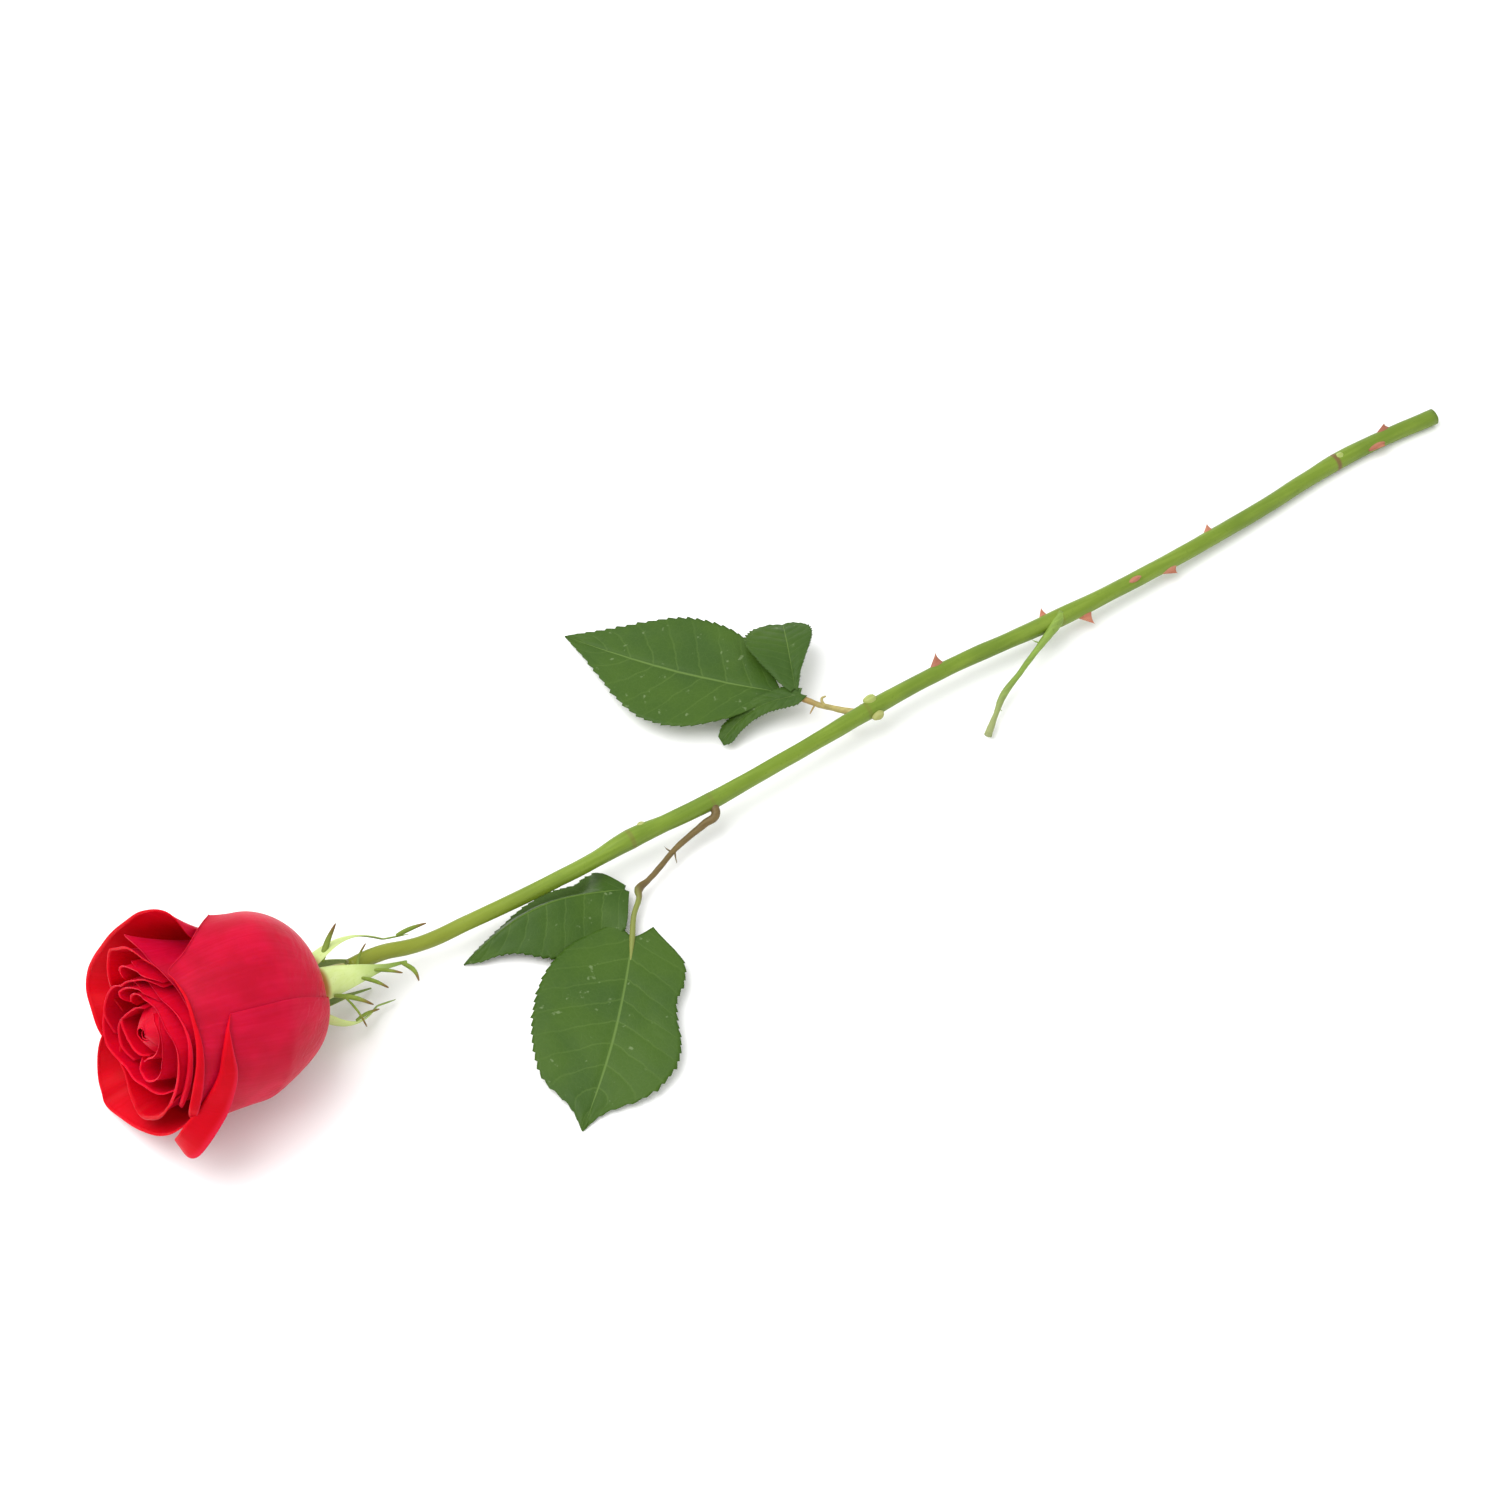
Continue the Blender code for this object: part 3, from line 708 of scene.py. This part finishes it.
def petal_material(name, colour, deep, bright, edge, tissue, gloss):
    """Velvety petal: the main colour, veined with the bright one and clouded with the deep one; the edge colour
    paints a highlight along the rim.
    """
    made, tree, shader = new_material(name, 0.42, gloss)
    marks = use_group(tree, tissue)
    veined = blend_colours(tree, maths(tree, "MULTIPLY", marks.outputs["Veins"], 0.35), colour, bright)
    clouded = blend_colours(tree, maths(tree, "MULTIPLY", marks.outputs["Patches"], 0.6), veined, deep)
    # Painted highlight: the rim is lightened towards the edge colour.
    rim_highlighted = blend_colours(tree, maths(tree, "MULTIPLY", marks.outputs["Rim highlight"], 0.45), clouded, edge)
    tree.links.new(rim_highlighted, shader.inputs["Base Color"])
    # Light soaks through a petal and reddens the shaded sides.
    shader.inputs["Subsurface Weight"].default_value = 0.45
    shader.inputs["Subsurface Radius"].default_value = (1.0, 0.08, 0.1)
    shader.inputs["Subsurface Scale"].default_value = 0.001
    shader.inputs["Sheen Weight"].default_value = 0.04
    shader.inputs["Sheen Roughness"].default_value = 0.35
    shader.inputs["Sheen Tint"].default_value = (1.0, 0.1, 0.2, 1.0)
    bump(tree, shader, marks.outputs["Height"], 0.00006)
    return made


class ROSE_OT_petals(bpy.types.Operator):
    """Builds the petals, each a thin sheet on its own shell"""

    bl_idname = "rose.petals"
    bl_label = "Petals"

    def execute(self, context):
        settings = context.scene.rose_bloom
        tissue = petal_tissue()
        # The fourth colour of each petal material is the painted highlight along the rim.
        outer = (
            petal_material(
                "petal_back", settings.back_colour, (0.34, 0.0005, 0.012), (0.6, 0.01, 0.055),
                (0.68, 0.03, 0.08), tissue, 0.1
            ),
            petal_material(
                "petal_face", settings.face_colour, (0.42, 0.0005, 0.005), (0.6, 0.002, 0.02),
                (0.7, 0.025, 0.07), tissue, 0.06
            ),
        )
        # The heart materials are brighter copies of the petal ones: painted light for the glow through the thin
        # inner petals.
        inner = (
            petal_material(
                "heart_back", settings.heart_colour, (0.44, 0.0005, 0.012), (0.66, 0.008, 0.045),
                (0.74, 0.03, 0.09), tissue, 0.08
            ),
            petal_material(
                "heart_face", settings.heart_colour, (0.46, 0.0005, 0.008), (0.66, 0.004, 0.025),
                (0.74, 0.03, 0.08), tissue, 0.06
            ),
        )
        for row in petal_table():
            node = f"petal_{row['count'] + 1:02d}"
            bm = bmesh.new()
            across, along = (64, 44) if row["count"] < OUTER_PETALS else (48, 30)
            add_sheet(bm, across, along, petal_place(row, settings.ripple))
            piece = put(f"{node}_surface", bm, outer if row["count"] < OUTER_PETALS else inner, node)
            thicken(piece, settings.petal_thickness, rounded=True)
        return {"FINISHED"}


# Sepals: (turn, spread away from the hip, length, half width at the foot).
SEPALS = (
    (-26.0, 0.4, 29.5, 8.0),
    (48.0, 4.6, 36.0, 6.6),
    (112.0, 3.4, 30.0, 4.6),
    (178.0, 0.4, 23.5, 4.4),
    (-116.0, 4.8, 26.0, 4.6),
)


# Half the width of a sepal, as a share of its foot, at even steps from the foot to the tip.
SEPAL_OUTLINE = (1.0, 0.86, 0.68, 0.52, 0.37, 0.22, 0.12, 0.08, 0.05)

# Lobes and tips on the sepals: start, end, half width, how far the middle bows.
LOBES = {
    "sepal_1": (
        ((2.3, 3.1, 21.5), (10.9, 9.6, 26.0), 1.5, 1.0),
        ((10.4, -2.4, 17.5), (16.1, 2.7, 20.0), 0.5, 1.6),
        ((10.0, -4.8, 17.0), (15.4, -10.8, 15.0), 0.9, 0.6),
        ((14.7, -3.7, 15.5), (21.4, -8.1, 14.0), 0.8, 0.4),
        ((22.5, -4.5, 14.0), (24.2, -12.0, 12.5), 1.1, 1.6),
        ((0.2, -7.3, 19.5), (8.7, -14.5, 17.0), 1.2, 1.0),
        ((2.7, -8.3, 18.5), (4.2, -18.0, 14.0), 0.4, 0.8),
    ),
    "sepal_2": (((25.9, 3.7, 14.0), (35.4, 2.7, 14.0), 1.1, 0.5),),
    "sepal_5": (((3.2, -12.9, 11.0), (10.5, -13.7, 12.0), 0.8, 0.8),),
}


def lobe_place(start, end, half, bow):
    """The function that sets the points of one lobe of a sepal."""
    start, end = Vector(start), Vector(end)
    along = (end - start).normalized()
    across = along.cross(Vector((-0.31, -0.48, 0.82))).normalized()
    rise = across.cross(along)

    def place(s, t):
        width = half * (1.0 - t) ** 0.8 * (0.3 + 1.7 * t * (1.0 - 0.6 * t)) + 0.1
        curl = bow * math.sin(math.pi * t) + 0.5 * s * s * half
        return start.lerp(end, t) + across * (s * width - 0.6 * bow * math.sin(math.pi * t)) - rise * curl

    return place


def sepal_place(row):
    """The function that sets the points of one sepal, which lies back along the stem."""
    turn, spread, length, half = row

    def place(s, t):
        width = half * between(SEPAL_OUTLINE, t) + 0.1
        radius = 8.3 + spread * math.sin(math.pi * min(t * 1.15, 0.86)) - 1.6 * t
        height = -1.6 - length * t
        angle = turn + math.degrees(s * width / (radius + 1.0)) * 0.9
        return bloom_point(radius - 0.02 * (s * width) ** 2, angle, height)

    return place


def plant_tissue():
    """Group: streaks along the shoot, cloudy patches and small specks, on object coordinates."""
    tree, out = new_group("Plant tissue", ("Streaks", "Patches", "Specks", "Height"))
    where = add_node(tree, "ShaderNodeTexCoord").outputs["Object"]
    streaks = spots(tree, stretched(tree, where, (60.0, 900.0, 900.0)), 1.0, 4.0)
    patches = spots(tree, where, 55.0, 4.0)
    specks = spots(tree, where, 1300.0, 2.0)
    tree.links.new(step_up(tree, streaks, 0.35, 0.7), out.inputs["Streaks"])
    tree.links.new(step_up(tree, patches, 0.35, 0.7), out.inputs["Patches"])
    tree.links.new(step_up(tree, specks, 0.62, 0.72), out.inputs["Specks"])
    tree.links.new(maths(tree, "ADD", streaks, maths(tree, "MULTIPLY", specks, 0.3)), out.inputs["Height"])
    return tree


def skin_material(name, colour, deep, bright, tissue, roughness, gloss):
    """Plant skin: the main colour with deeper patches, brighter streaks and dark specks."""
    made, tree, shader = new_material(name, roughness, gloss)
    marks = use_group(tree, tissue)
    colour = blend_colours(tree, maths(tree, "MULTIPLY", marks.outputs["Streaks"], 0.6), colour, bright)
    colour = blend_colours(tree, maths(tree, "MULTIPLY", marks.outputs["Patches"], 0.5), colour, deep)
    colour = blend_colours(tree, maths(tree, "MULTIPLY", marks.outputs["Specks"], 0.35), colour, deep)
    tree.links.new(colour, shader.inputs["Base Color"])
    bump(tree, shader, marks.outputs["Height"], 0.00008)
    return made, tree, shader


class ROSE_OT_calyx(bpy.types.Operator):
    """Builds the receptacle and the sepals that lie back from it"""

    bl_idname = "rose.calyx"
    bl_label = "Calyx"

    def execute(self, context):
        settings = context.scene.rose_bloom
        tissue = plant_tissue()
        pale, tree, shader = skin_material(
            "sepal_face", settings.sepal_colour, (0.36, 0.46, 0.11), (0.62, 0.72, 0.34), tissue, 0.6, 0.25
        )
        # Brownish yellow where the sepal leaves the bloom, greener towards the tip.
        uv = add_node(tree, "ShaderNodeUVMap", uv_map=UV_NAME).outputs[0]
        along = add_node(tree, "ShaderNodeSeparateXYZ", {0: uv}).outputs[1]
        colour = shader.inputs["Base Color"].links[0].from_socket
        colour = blend_colours(tree, step_up(tree, along, 0.3, 0.9), colour, (0.2, 0.3, 0.05))
        foot = maths(tree, "SUBTRACT", 1.0, step_up(tree, along, 0.03, 0.1))
        colour = blend_colours(tree, foot, colour, (0.3, 0.13, 0.02))
        tree.links.new(colour, shader.inputs["Base Color"])
        lobe, tree, shader = skin_material(
            "sepal_lobe", (0.16, 0.24, 0.025), (0.08, 0.12, 0.012), (0.28, 0.36, 0.06), tissue, 0.6, 0.25
        )
        uv = add_node(tree, "ShaderNodeUVMap", uv_map=UV_NAME).outputs[0]
        along = add_node(tree, "ShaderNodeSeparateXYZ", {0: uv}).outputs[1]
        colour = shader.inputs["Base Color"].links[0].from_socket
        tip = maths(tree, "MULTIPLY", step_up(tree, along, 0.55, 0.95), 0.8)
        tree.links.new(blend_colours(tree, tip, colour, (0.16, 0.05, 0.02)), shader.inputs["Base Color"])
        green = skin_material(
            "sepal_back", (0.2, 0.28, 0.07), (0.12, 0.18, 0.04), (0.3, 0.36, 0.12), tissue, 0.6, 0.3
        )[0]
        hip = skin_material(
            "receptacle_skin", (0.42, 0.46, 0.1), (0.45, 0.3, 0.08), (0.55, 0.6, 0.2), tissue, 0.5, 0.35
        )[0]
        profile = [(0.0, 8.4), (2.4, 7.9), (4.6, 6.2), (6.1, 3.6), (6.7, 1.4), (6.9, 0.2)]
        profile += [(6.9, -1.2), (6.2, -3.0), (5.0, -5.6), (3.8, -9.6), (2.6, -14.4), (0.0, -14.4)]
        bm = turned(profile, 40)
        for vert in bm.verts:
            x, y, height = vert.co
            lean = max(0.0, -height - 1.0) ** 1.5 / 49.0
            vert.co = BLOOM_FOOT + AXIS * height + UP * (x + 2.6 * lean) + SIDE * (y + 1.7 * lean)
        bmesh.ops.recalc_face_normals(bm, faces=bm.faces)
        piece = put("receptacle_surface", bm, (hip,), "receptacle")
        soft = piece.modifiers.new("Soft edges", "SUBSURF")
        soft.levels = soft.render_levels = 1
        for index, row in enumerate(SEPALS):
            node = f"sepal_{index + 1}"
            bm = bmesh.new()
            add_sheet(bm, 12, 40, sepal_place(row))
            bmesh.ops.reverse_faces(bm, faces=bm.faces)
            for start, end, half, bow in LOBES.get(node, ()):
                for face in add_sheet(bm, 4, 16, lobe_place(start, end, half, bow)):
                    face.material_index = 2
            piece = put(f"{node}_surface", bm, (pale, green, lobe), node)
            thicken(piece, 0.0005, rounded=True)
        return {"FINISHED"}


# --- stem, stalks and prickles --------------------------------------------------------------------


def stem_at(x):
    """Centre and radius of the stem at a distance x, between its listed points."""
    rows = np.array(STEM_LINE)
    y, z, radius = (float(np.interp(x, rows[:, 0], rows[:, column])) for column in (1, 2, 3))
    return Vector((x, y, z)), radius


def stem_material(settings, tissue):
    """Green waxy skin, yellower at the neck, with brown rings where leaves grow."""
    made, tree, shader = skin_material(
        "stem_skin", settings.stem_colour, (0.085, 0.15, 0.007), (0.2, 0.29, 0.03), tissue, 0.42, 0.3
    )
    colour = shader.inputs["Base Color"].links[0].from_socket
    along = add_node(
        tree, "ShaderNodeSeparateXYZ", {0: add_node(tree, "ShaderNodeTexCoord").outputs["Object"]}
    ).outputs[0]
    neck_start, neck_end = ((x + SHIFT.x) * MM for x in (12.0, 90.0))
    neck = maths(tree, "SUBTRACT", 1.0, step_up(tree, along, neck_start, neck_end))
    colour = blend_colours(tree, maths(tree, "MULTIPLY", neck, 0.8), colour, settings.neck_colour)
    for x, half_width, strength in STEM_RINGS:
        middle = (x + SHIFT.x) * MM
        distance = maths(tree, "ABSOLUTE", maths(tree, "SUBTRACT", along, middle))
        outside = step_up(tree, distance, half_width * 0.4 * MM, half_width * 1.6 * MM)
        ring = maths(tree, "SUBTRACT", 1.0, outside)
        browning = maths(tree, "MULTIPLY", ring, strength * 0.8)
        colour = blend_colours(tree, browning, colour, (0.16, 0.07, 0.03))
    tree.links.new(colour, shader.inputs["Base Color"])
    return made


class ROSE_OT_stem(bpy.types.Operator):
    """Builds the stem with its cut end, and the leaf stalks"""

    bl_idname = "rose.stem"
    bl_label = "Stem and stalks"

    def execute(self, context):
        settings = context.scene.rose_stem
        tissue = bpy.data.node_groups["Plant tissue"]
        skin = stem_material(settings, tissue)
        cut = skin_material(
            "stem_cut", (0.35, 0.32, 0.2), (0.16, 0.12, 0.07), (0.5, 0.48, 0.32), tissue, 0.8, 0.2
        )[0]
        bm = tube((STEM_LINE,), 32, 10)
        cut_x = STEM_LINE[-1][0]
        roughen(bm, 0.12, 0.5)
        ends = [
            face
            for face in bm.faces
            if len(face.verts) > 4 and face.calc_center_median().x > cut_x - 1.0
        ]
        inset = bmesh.ops.inset_region(bm, faces=ends, thickness=0.35, depth=-0.12)
        for face in ends + inset["faces"]:
            face.material_index = 1
        for centre, radius in STEM_LUMPS:
            place = Matrix.Translation(centre) @ Matrix.Diagonal((1.3, 1.0, 0.8, 1.0))
            lump = bmesh.ops.create_icosphere(bm, subdivisions=3, radius=radius, matrix=place)
            for vert in lump["verts"]:
                vert.co += (vert.co - Vector(centre)) * 0.12 * noise.noise(vert.co * 0.9)
                for face in vert.link_faces:
                    face.material_index = 2
        pale = skin_material(
            "stem_lump", (0.3, 0.38, 0.09), (0.3, 0.24, 0.08), (0.5, 0.55, 0.25), tissue, 0.6, 0.25
        )[0]
        put("stem_surface", bm, (skin, cut, pale), "stem")
        for node, line in STALKS.items():
            near, far, change, changed = STALK_COLOURS[node]
            deep, bright = (tuple(value * share for value in near) for share in (0.5, 1.5))
            stalk, tree, shader = skin_material(f"{node}_skin", near, deep, bright, tissue, 0.5, 0.3)
            start, end = ((x + SHIFT.x) * MM for x in (change, changed))
            where = add_node(tree, "ShaderNodeTexCoord").outputs["Object"]
            along = add_node(tree, "ShaderNodeSeparateXYZ", {0: where}).outputs[0]
            leafward = maths(tree, "SUBTRACT", 1.0, step_up(tree, along, end, start))
            colour = shader.inputs["Base Color"].links[0].from_socket
            colour = blend_colours(tree, maths(tree, "MULTIPLY", leafward, 0.85), colour, far)
            tree.links.new(colour, shader.inputs["Base Color"])
            bm = tube((line, *STALK_GROWTHS[node]), 16, 8)
            roughen(bm, 0.1, 0.9)
            put(f"{node}_surface", bm, (stalk,), node)
        return {"FINISHED"}


class ROSE_OT_prickles(bpy.types.Operator):
    """Builds the prickles, each with a broad foot on the stem and a bent point"""

    bl_idname = "rose.prickles"
    bl_label = "Prickles"

    def execute(self, context):
        settings = context.scene.rose_stem
        tissue = bpy.data.node_groups["Plant tissue"]
        skin = skin_material(
            "prickle_skin", settings.prickle_colour, (0.17, 0.06, 0.03), (0.55, 0.26, 0.16), tissue, 0.5, 0.3
        )[0]
        levels = 12
        profile = [(0.0, 0.0)]
        profile += [((1.0 - level / levels) ** 1.35, level / levels) for level in range(levels + 1)]
        for index, (x, turn, height, length) in enumerate(PRICKLES):
            centre, radius = stem_at(x)
            angle = math.radians(turn)
            out = Vector((0.0, math.sin(angle), math.cos(angle)))
            across = Vector((0.0, math.cos(angle), -math.sin(angle)))
            bm = turned(profile, 20)
            for vert in bm.verts:
                share = clamp(vert.co.z)
                forward = vert.co.x * length / 2 + 0.3 * length * share**1.5
                sideways = vert.co.y * min(1.2, length / 4)
                drop = 0.45 * (1.0 - share) * abs(vert.co.y)
                vert.co = (
                    centre
                    + out * (radius - 0.15 - drop + (height + 0.5) * share)
                    + Vector((forward, 0.0, 0.0))
                    + across * sideways
                )
            bmesh.ops.recalc_face_normals(bm, faces=bm.faces)
            node = f"prickle_{index + 1}"
            put(f"{node}_surface", bm, (skin,), node)
        return {"FINISHED"}


# --- leaves ---------------------------------------------------------------------------------------


def leaf_place(row, settings):
    """The function that sets the points of one leaflet."""
    left, right, base, tip, arch, sweep, left_slope, right_slope = row
    half = max(left + right)
    base, tip = Vector(base), Vector(tip)
    along = tip - base
    length = along.length
    along.normalize()
    across = along.cross(Vector((0, 0, 1))).normalized()
    rise = across.cross(along).normalized()
    floor = settings.thickness / MM / 2.0 + 0.05

    def place(s, t):
        width = max(0.0, between(left if s < 0 else right, t)) + 0.15
        phase = (t * settings.teeth) % 1.0
        saw = phase / 0.8 if phase < 0.8 else (1.0 - phase) / 0.2
        edge = smooth((abs(s) - 0.78) / 0.22) * smooth(t * 8.0) * smooth((1.0 - t) * 12.0)
        uneven = 1.0 + 0.9 * noise.noise(Vector((math.floor(t * settings.teeth) * 0.7, s * 2.0, half)))
        tooth = settings.tooth_size * edge * saw * uneven * min(1.0, 0.3 + width / 14.0)
        bow = math.sin(math.pi * t)
        slope = math.radians(left_slope if s < 0 else right_slope) * smooth(t * 4.0)
        side = math.copysign(tooth, s) if s else 0.0
        out = (s * width + side) * math.cos(slope)
        vein = (t - VEIN_SLANT * abs(s)) * SIDE_VEINS
        vein_gap = abs(vein - round(vein)) / SIDE_VEINS * length
        relief = -0.12 * math.exp(-((vein_gap / 0.8) ** 2)) - 0.3 * math.exp(-((s * width / 0.7) ** 2))
        relief += 0.25 * noise.noise(Vector((s * 3.0, t * 7.0, half)))
        lift = arch * bow + abs(s) * width * math.sin(slope) + relief * smooth(t * 6.0) * (1.0 - edge)
        back = -0.9 * left[0] * abs(s) ** 1.5 * math.exp(-t * 9.0)
        point = base + along * (length * t + back + 0.5 * tooth)
        point += across * (out + sweep * bow) + rise * lift
        point.z = max(point.z, floor)
        return point

    return place


def leaf_veins():
    """Group: midrib and slanting side veins on the leaflet's own map, and the fine net between."""
    tree, out = new_group("Leaf veins", ("Ribs", "Net", "Patches", "Dust", "Height"))
    uv = add_node(tree, "ShaderNodeUVMap", uv_map=UV_NAME).outputs[0]
    split = add_node(tree, "ShaderNodeSeparateXYZ", {0: uv})
    doubled = maths(tree, "MULTIPLY", split.outputs[0], 2.0)
    side = maths(tree, "ABSOLUTE", maths(tree, "SUBTRACT", doubled, 1.0))
    along = split.outputs[1]
    midrib = maths(tree, "SUBTRACT", 1.0, step_up(tree, side, 0.006, 0.028))
    wobble = maths(tree, "MULTIPLY", maths(tree, "SUBTRACT", spots(tree, uv, 9.0, 2.0), 0.5), 0.03)
    wavy = maths(tree, "ADD", along, wobble)
    slant = maths(tree, "SUBTRACT", wavy, maths(tree, "MULTIPLY", side, VEIN_SLANT))
    phase = maths(tree, "PINGPONG", maths(tree, "MULTIPLY", slant, float(SIDE_VEINS)), 0.5)
    thin = maths(tree, "SUBTRACT", 1.0, step_up(tree, phase, 0.015, 0.06))
    thin = maths(tree, "MULTIPLY", thin, maths(tree, "SUBTRACT", 0.3, maths(tree, "MULTIPLY", side, 0.2)))
    ribs = maths(tree, "MAXIMUM", midrib, thin)
    cells = add_node(
        tree,
        "ShaderNodeTexVoronoi",
        {"Vector": stretched(tree, uv, (22.0, 44.0, 1.0)), "Scale": 1.0},
        feature="DISTANCE_TO_EDGE",
    ).outputs[0]
    net = maths(tree, "SUBTRACT", 1.0, step_up(tree, cells, 0.0, 0.12))
    where = add_node(tree, "ShaderNodeTexCoord").outputs["Object"]
    patches = step_up(tree, spots(tree, where, 60.0, 4.0), 0.35, 0.7)
    dust = step_up(tree, spots(tree, where, 330.0, 3.0), 0.66, 0.74)
    height = maths(tree, "SUBTRACT", maths(tree, "MULTIPLY", net, -0.25), ribs)
    found = {"Ribs": ribs, "Net": net, "Patches": patches, "Dust": dust, "Height": height}
    for name, value in found.items():
        tree.links.new(value, out.inputs[name])
    return tree


def leaf_material(name, colour, deep, vein, veins, roughness, relief):
    made, tree, shader = new_material(name, roughness, 0.22)
    marks = use_group(tree, veins)
    colour = blend_colours(tree, maths(tree, "MULTIPLY", marks.outputs["Patches"], 0.55), colour, deep)
    colour = blend_colours(tree, maths(tree, "MULTIPLY", marks.outputs["Net"], 0.05), colour, vein)
    dusty = maths(tree, "MULTIPLY", marks.outputs["Dust"], 0.3)
    colour = blend_colours(tree, dusty, colour, (0.3, 0.38, 0.2))
    colour = blend_colours(tree, maths(tree, "MULTIPLY", marks.outputs["Ribs"], 0.7), colour, vein)
    tree.links.new(colour, shader.inputs["Base Color"])
    bump(tree, shader, marks.outputs["Height"], relief)
    return made


class ROSE_OT_leaflets(bpy.types.Operator):
    """Builds the leaflets with toothed edges and sunken veins"""

    bl_idname = "rose.leaflets"
    bl_label = "Leaflets"

    def execute(self, context):
        settings = context.scene.rose_leaf
        veins = leaf_veins()
        top = leaf_material(
            "leaf_top", settings.top_colour, (0.022, 0.062, 0.006), (0.12, 0.2, 0.04), veins, 0.5, 0.00006
        )
        under = leaf_material(
            "leaf_under", settings.under_colour, (0.13, 0.18, 0.07), (0.32, 0.4, 0.18), veins, 0.6, -0.0001
        )
        for node, row in LEAFLETS.items():
            bm = bmesh.new()
            add_sheet(bm, 32, settings.teeth * 5, leaf_place(row, settings))
            piece = put(f"{node}_surface", bm, (top, under), node)
            thicken(piece, settings.thickness, rounded=False)
        return {"FINISHED"}


# --- stage ----------------------------------------------------------------------------------------


class ROSE_OT_stage(bpy.types.Operator):
    """Sets up the floor, the soft light and the camera"""

    bl_idname = "rose.stage"
    bl_label = "Stage"

    def execute(self, context):
        settings = context.scene.rose_stage
        scene = context.scene
        scene.view_settings.view_transform = "Standard"
        target = (CAMERA_TARGET + SHIFT) * MM
        bm = bmesh.new()
        bmesh.ops.create_grid(bm, x_segments=1, y_segments=1, size=2.0)
        mesh = bpy.data.meshes.new("floor")
        bm.to_mesh(mesh)
        bm.free()
        floor = bpy.data.objects.new("floor", mesh)
        scene.collection.objects.link(floor)
        white, tree, shader = new_material("floor_white", 0.9, 0.1)
        where = add_node(tree, "ShaderNodeTexCoord").outputs["Object"]
        tint = blend_colours(tree, spots(tree, where, 3.0), (0.94, 0.94, 0.94), (0.95, 0.95, 0.95))
        tree.links.new(tint, shader.inputs["Base Color"])
        mesh.materials.append(white)

        world = bpy.data.worlds.new("soft light")
        world.use_nodes = True
        sky = world.node_tree.nodes["Background"]
        sky.inputs["Color"].default_value = (1.0, 1.0, 1.0, 1.0)
        sky.inputs["Strength"].default_value = settings.sky_light
        scene.world = world

        lamp = bpy.data.lights.new("soft lamp", "AREA")
        lamp.energy = settings.lamp_power
        lamp.size = 1.1
        holder = bpy.data.objects.new("soft lamp", lamp)
        holder.location = target + Vector((-0.5, 0.28, 1.1))
        holder.rotation_euler = (target - holder.location).to_track_quat("-Z", "Y").to_euler()
        scene.collection.objects.link(holder)

        lens = bpy.data.cameras.new("camera")
        lens.lens = settings.lens
        lens.sensor_width = 36.0
        camera = bpy.data.objects.new("camera", lens)
        flat = math.cos(CAMERA_ELEVATION)
        view = Vector(
            (math.sin(CAMERA_AZIMUTH) * flat, math.cos(CAMERA_AZIMUTH) * flat, -math.sin(CAMERA_ELEVATION))
        )
        camera.location = target - view * CAMERA_DISTANCE * MM
        camera.rotation_euler = view.to_track_quat("-Z", "Y").to_euler()
        scene.collection.objects.link(camera)
        scene.camera = camera
        return {"FINISHED"}


class ROSE_PT_panel(bpy.types.Panel):
    """Lists the steps that build the rose"""

    bl_idname = "ROSE_PT_panel"
    bl_label = "Cut rose"
    bl_space_type = "VIEW_3D"
    bl_region_type = "UI"
    bl_category = "Rose"

    def draw(self, context):
        scene = context.scene
        for group in (scene.rose_bloom, scene.rose_stem, scene.rose_leaf, scene.rose_stage):
            box = self.layout.box()
            for key in group.__annotations__:
                box.prop(group, key)
        for step in STEPS:
            self.layout.operator(step.bl_idname)


SETTINGS = {
    "rose_bloom": RoseBloomSettings,
    "rose_stem": RoseStemSettings,
    "rose_leaf": RoseLeafSettings,
    "rose_stage": RoseStageSettings,
}
STEPS = (
    ROSE_OT_stage,
    ROSE_OT_petals,
    ROSE_OT_calyx,
    ROSE_OT_stem,
    ROSE_OT_prickles,
    ROSE_OT_leaflets,
)


def register():
    for name, kind in SETTINGS.items():
        bpy.utils.register_class(kind)
        setattr(bpy.types.Scene, name, PointerProperty(type=kind))
    for kind in (*STEPS, ROSE_PT_panel):
        bpy.utils.register_class(kind)


def unregister():
    for kind in (ROSE_PT_panel, *reversed(STEPS)):
        bpy.utils.unregister_class(kind)
    for name, kind in SETTINGS.items():
        delattr(bpy.types.Scene, name)
        bpy.utils.unregister_class(kind)


def main():
    register()
    bpy.ops.rose.stage()
    bpy.ops.rose.petals()
    bpy.ops.rose.calyx()
    bpy.ops.rose.stem()
    bpy.ops.rose.prickles()
    bpy.ops.rose.leaflets()


if __name__ == "__main__":
    main()
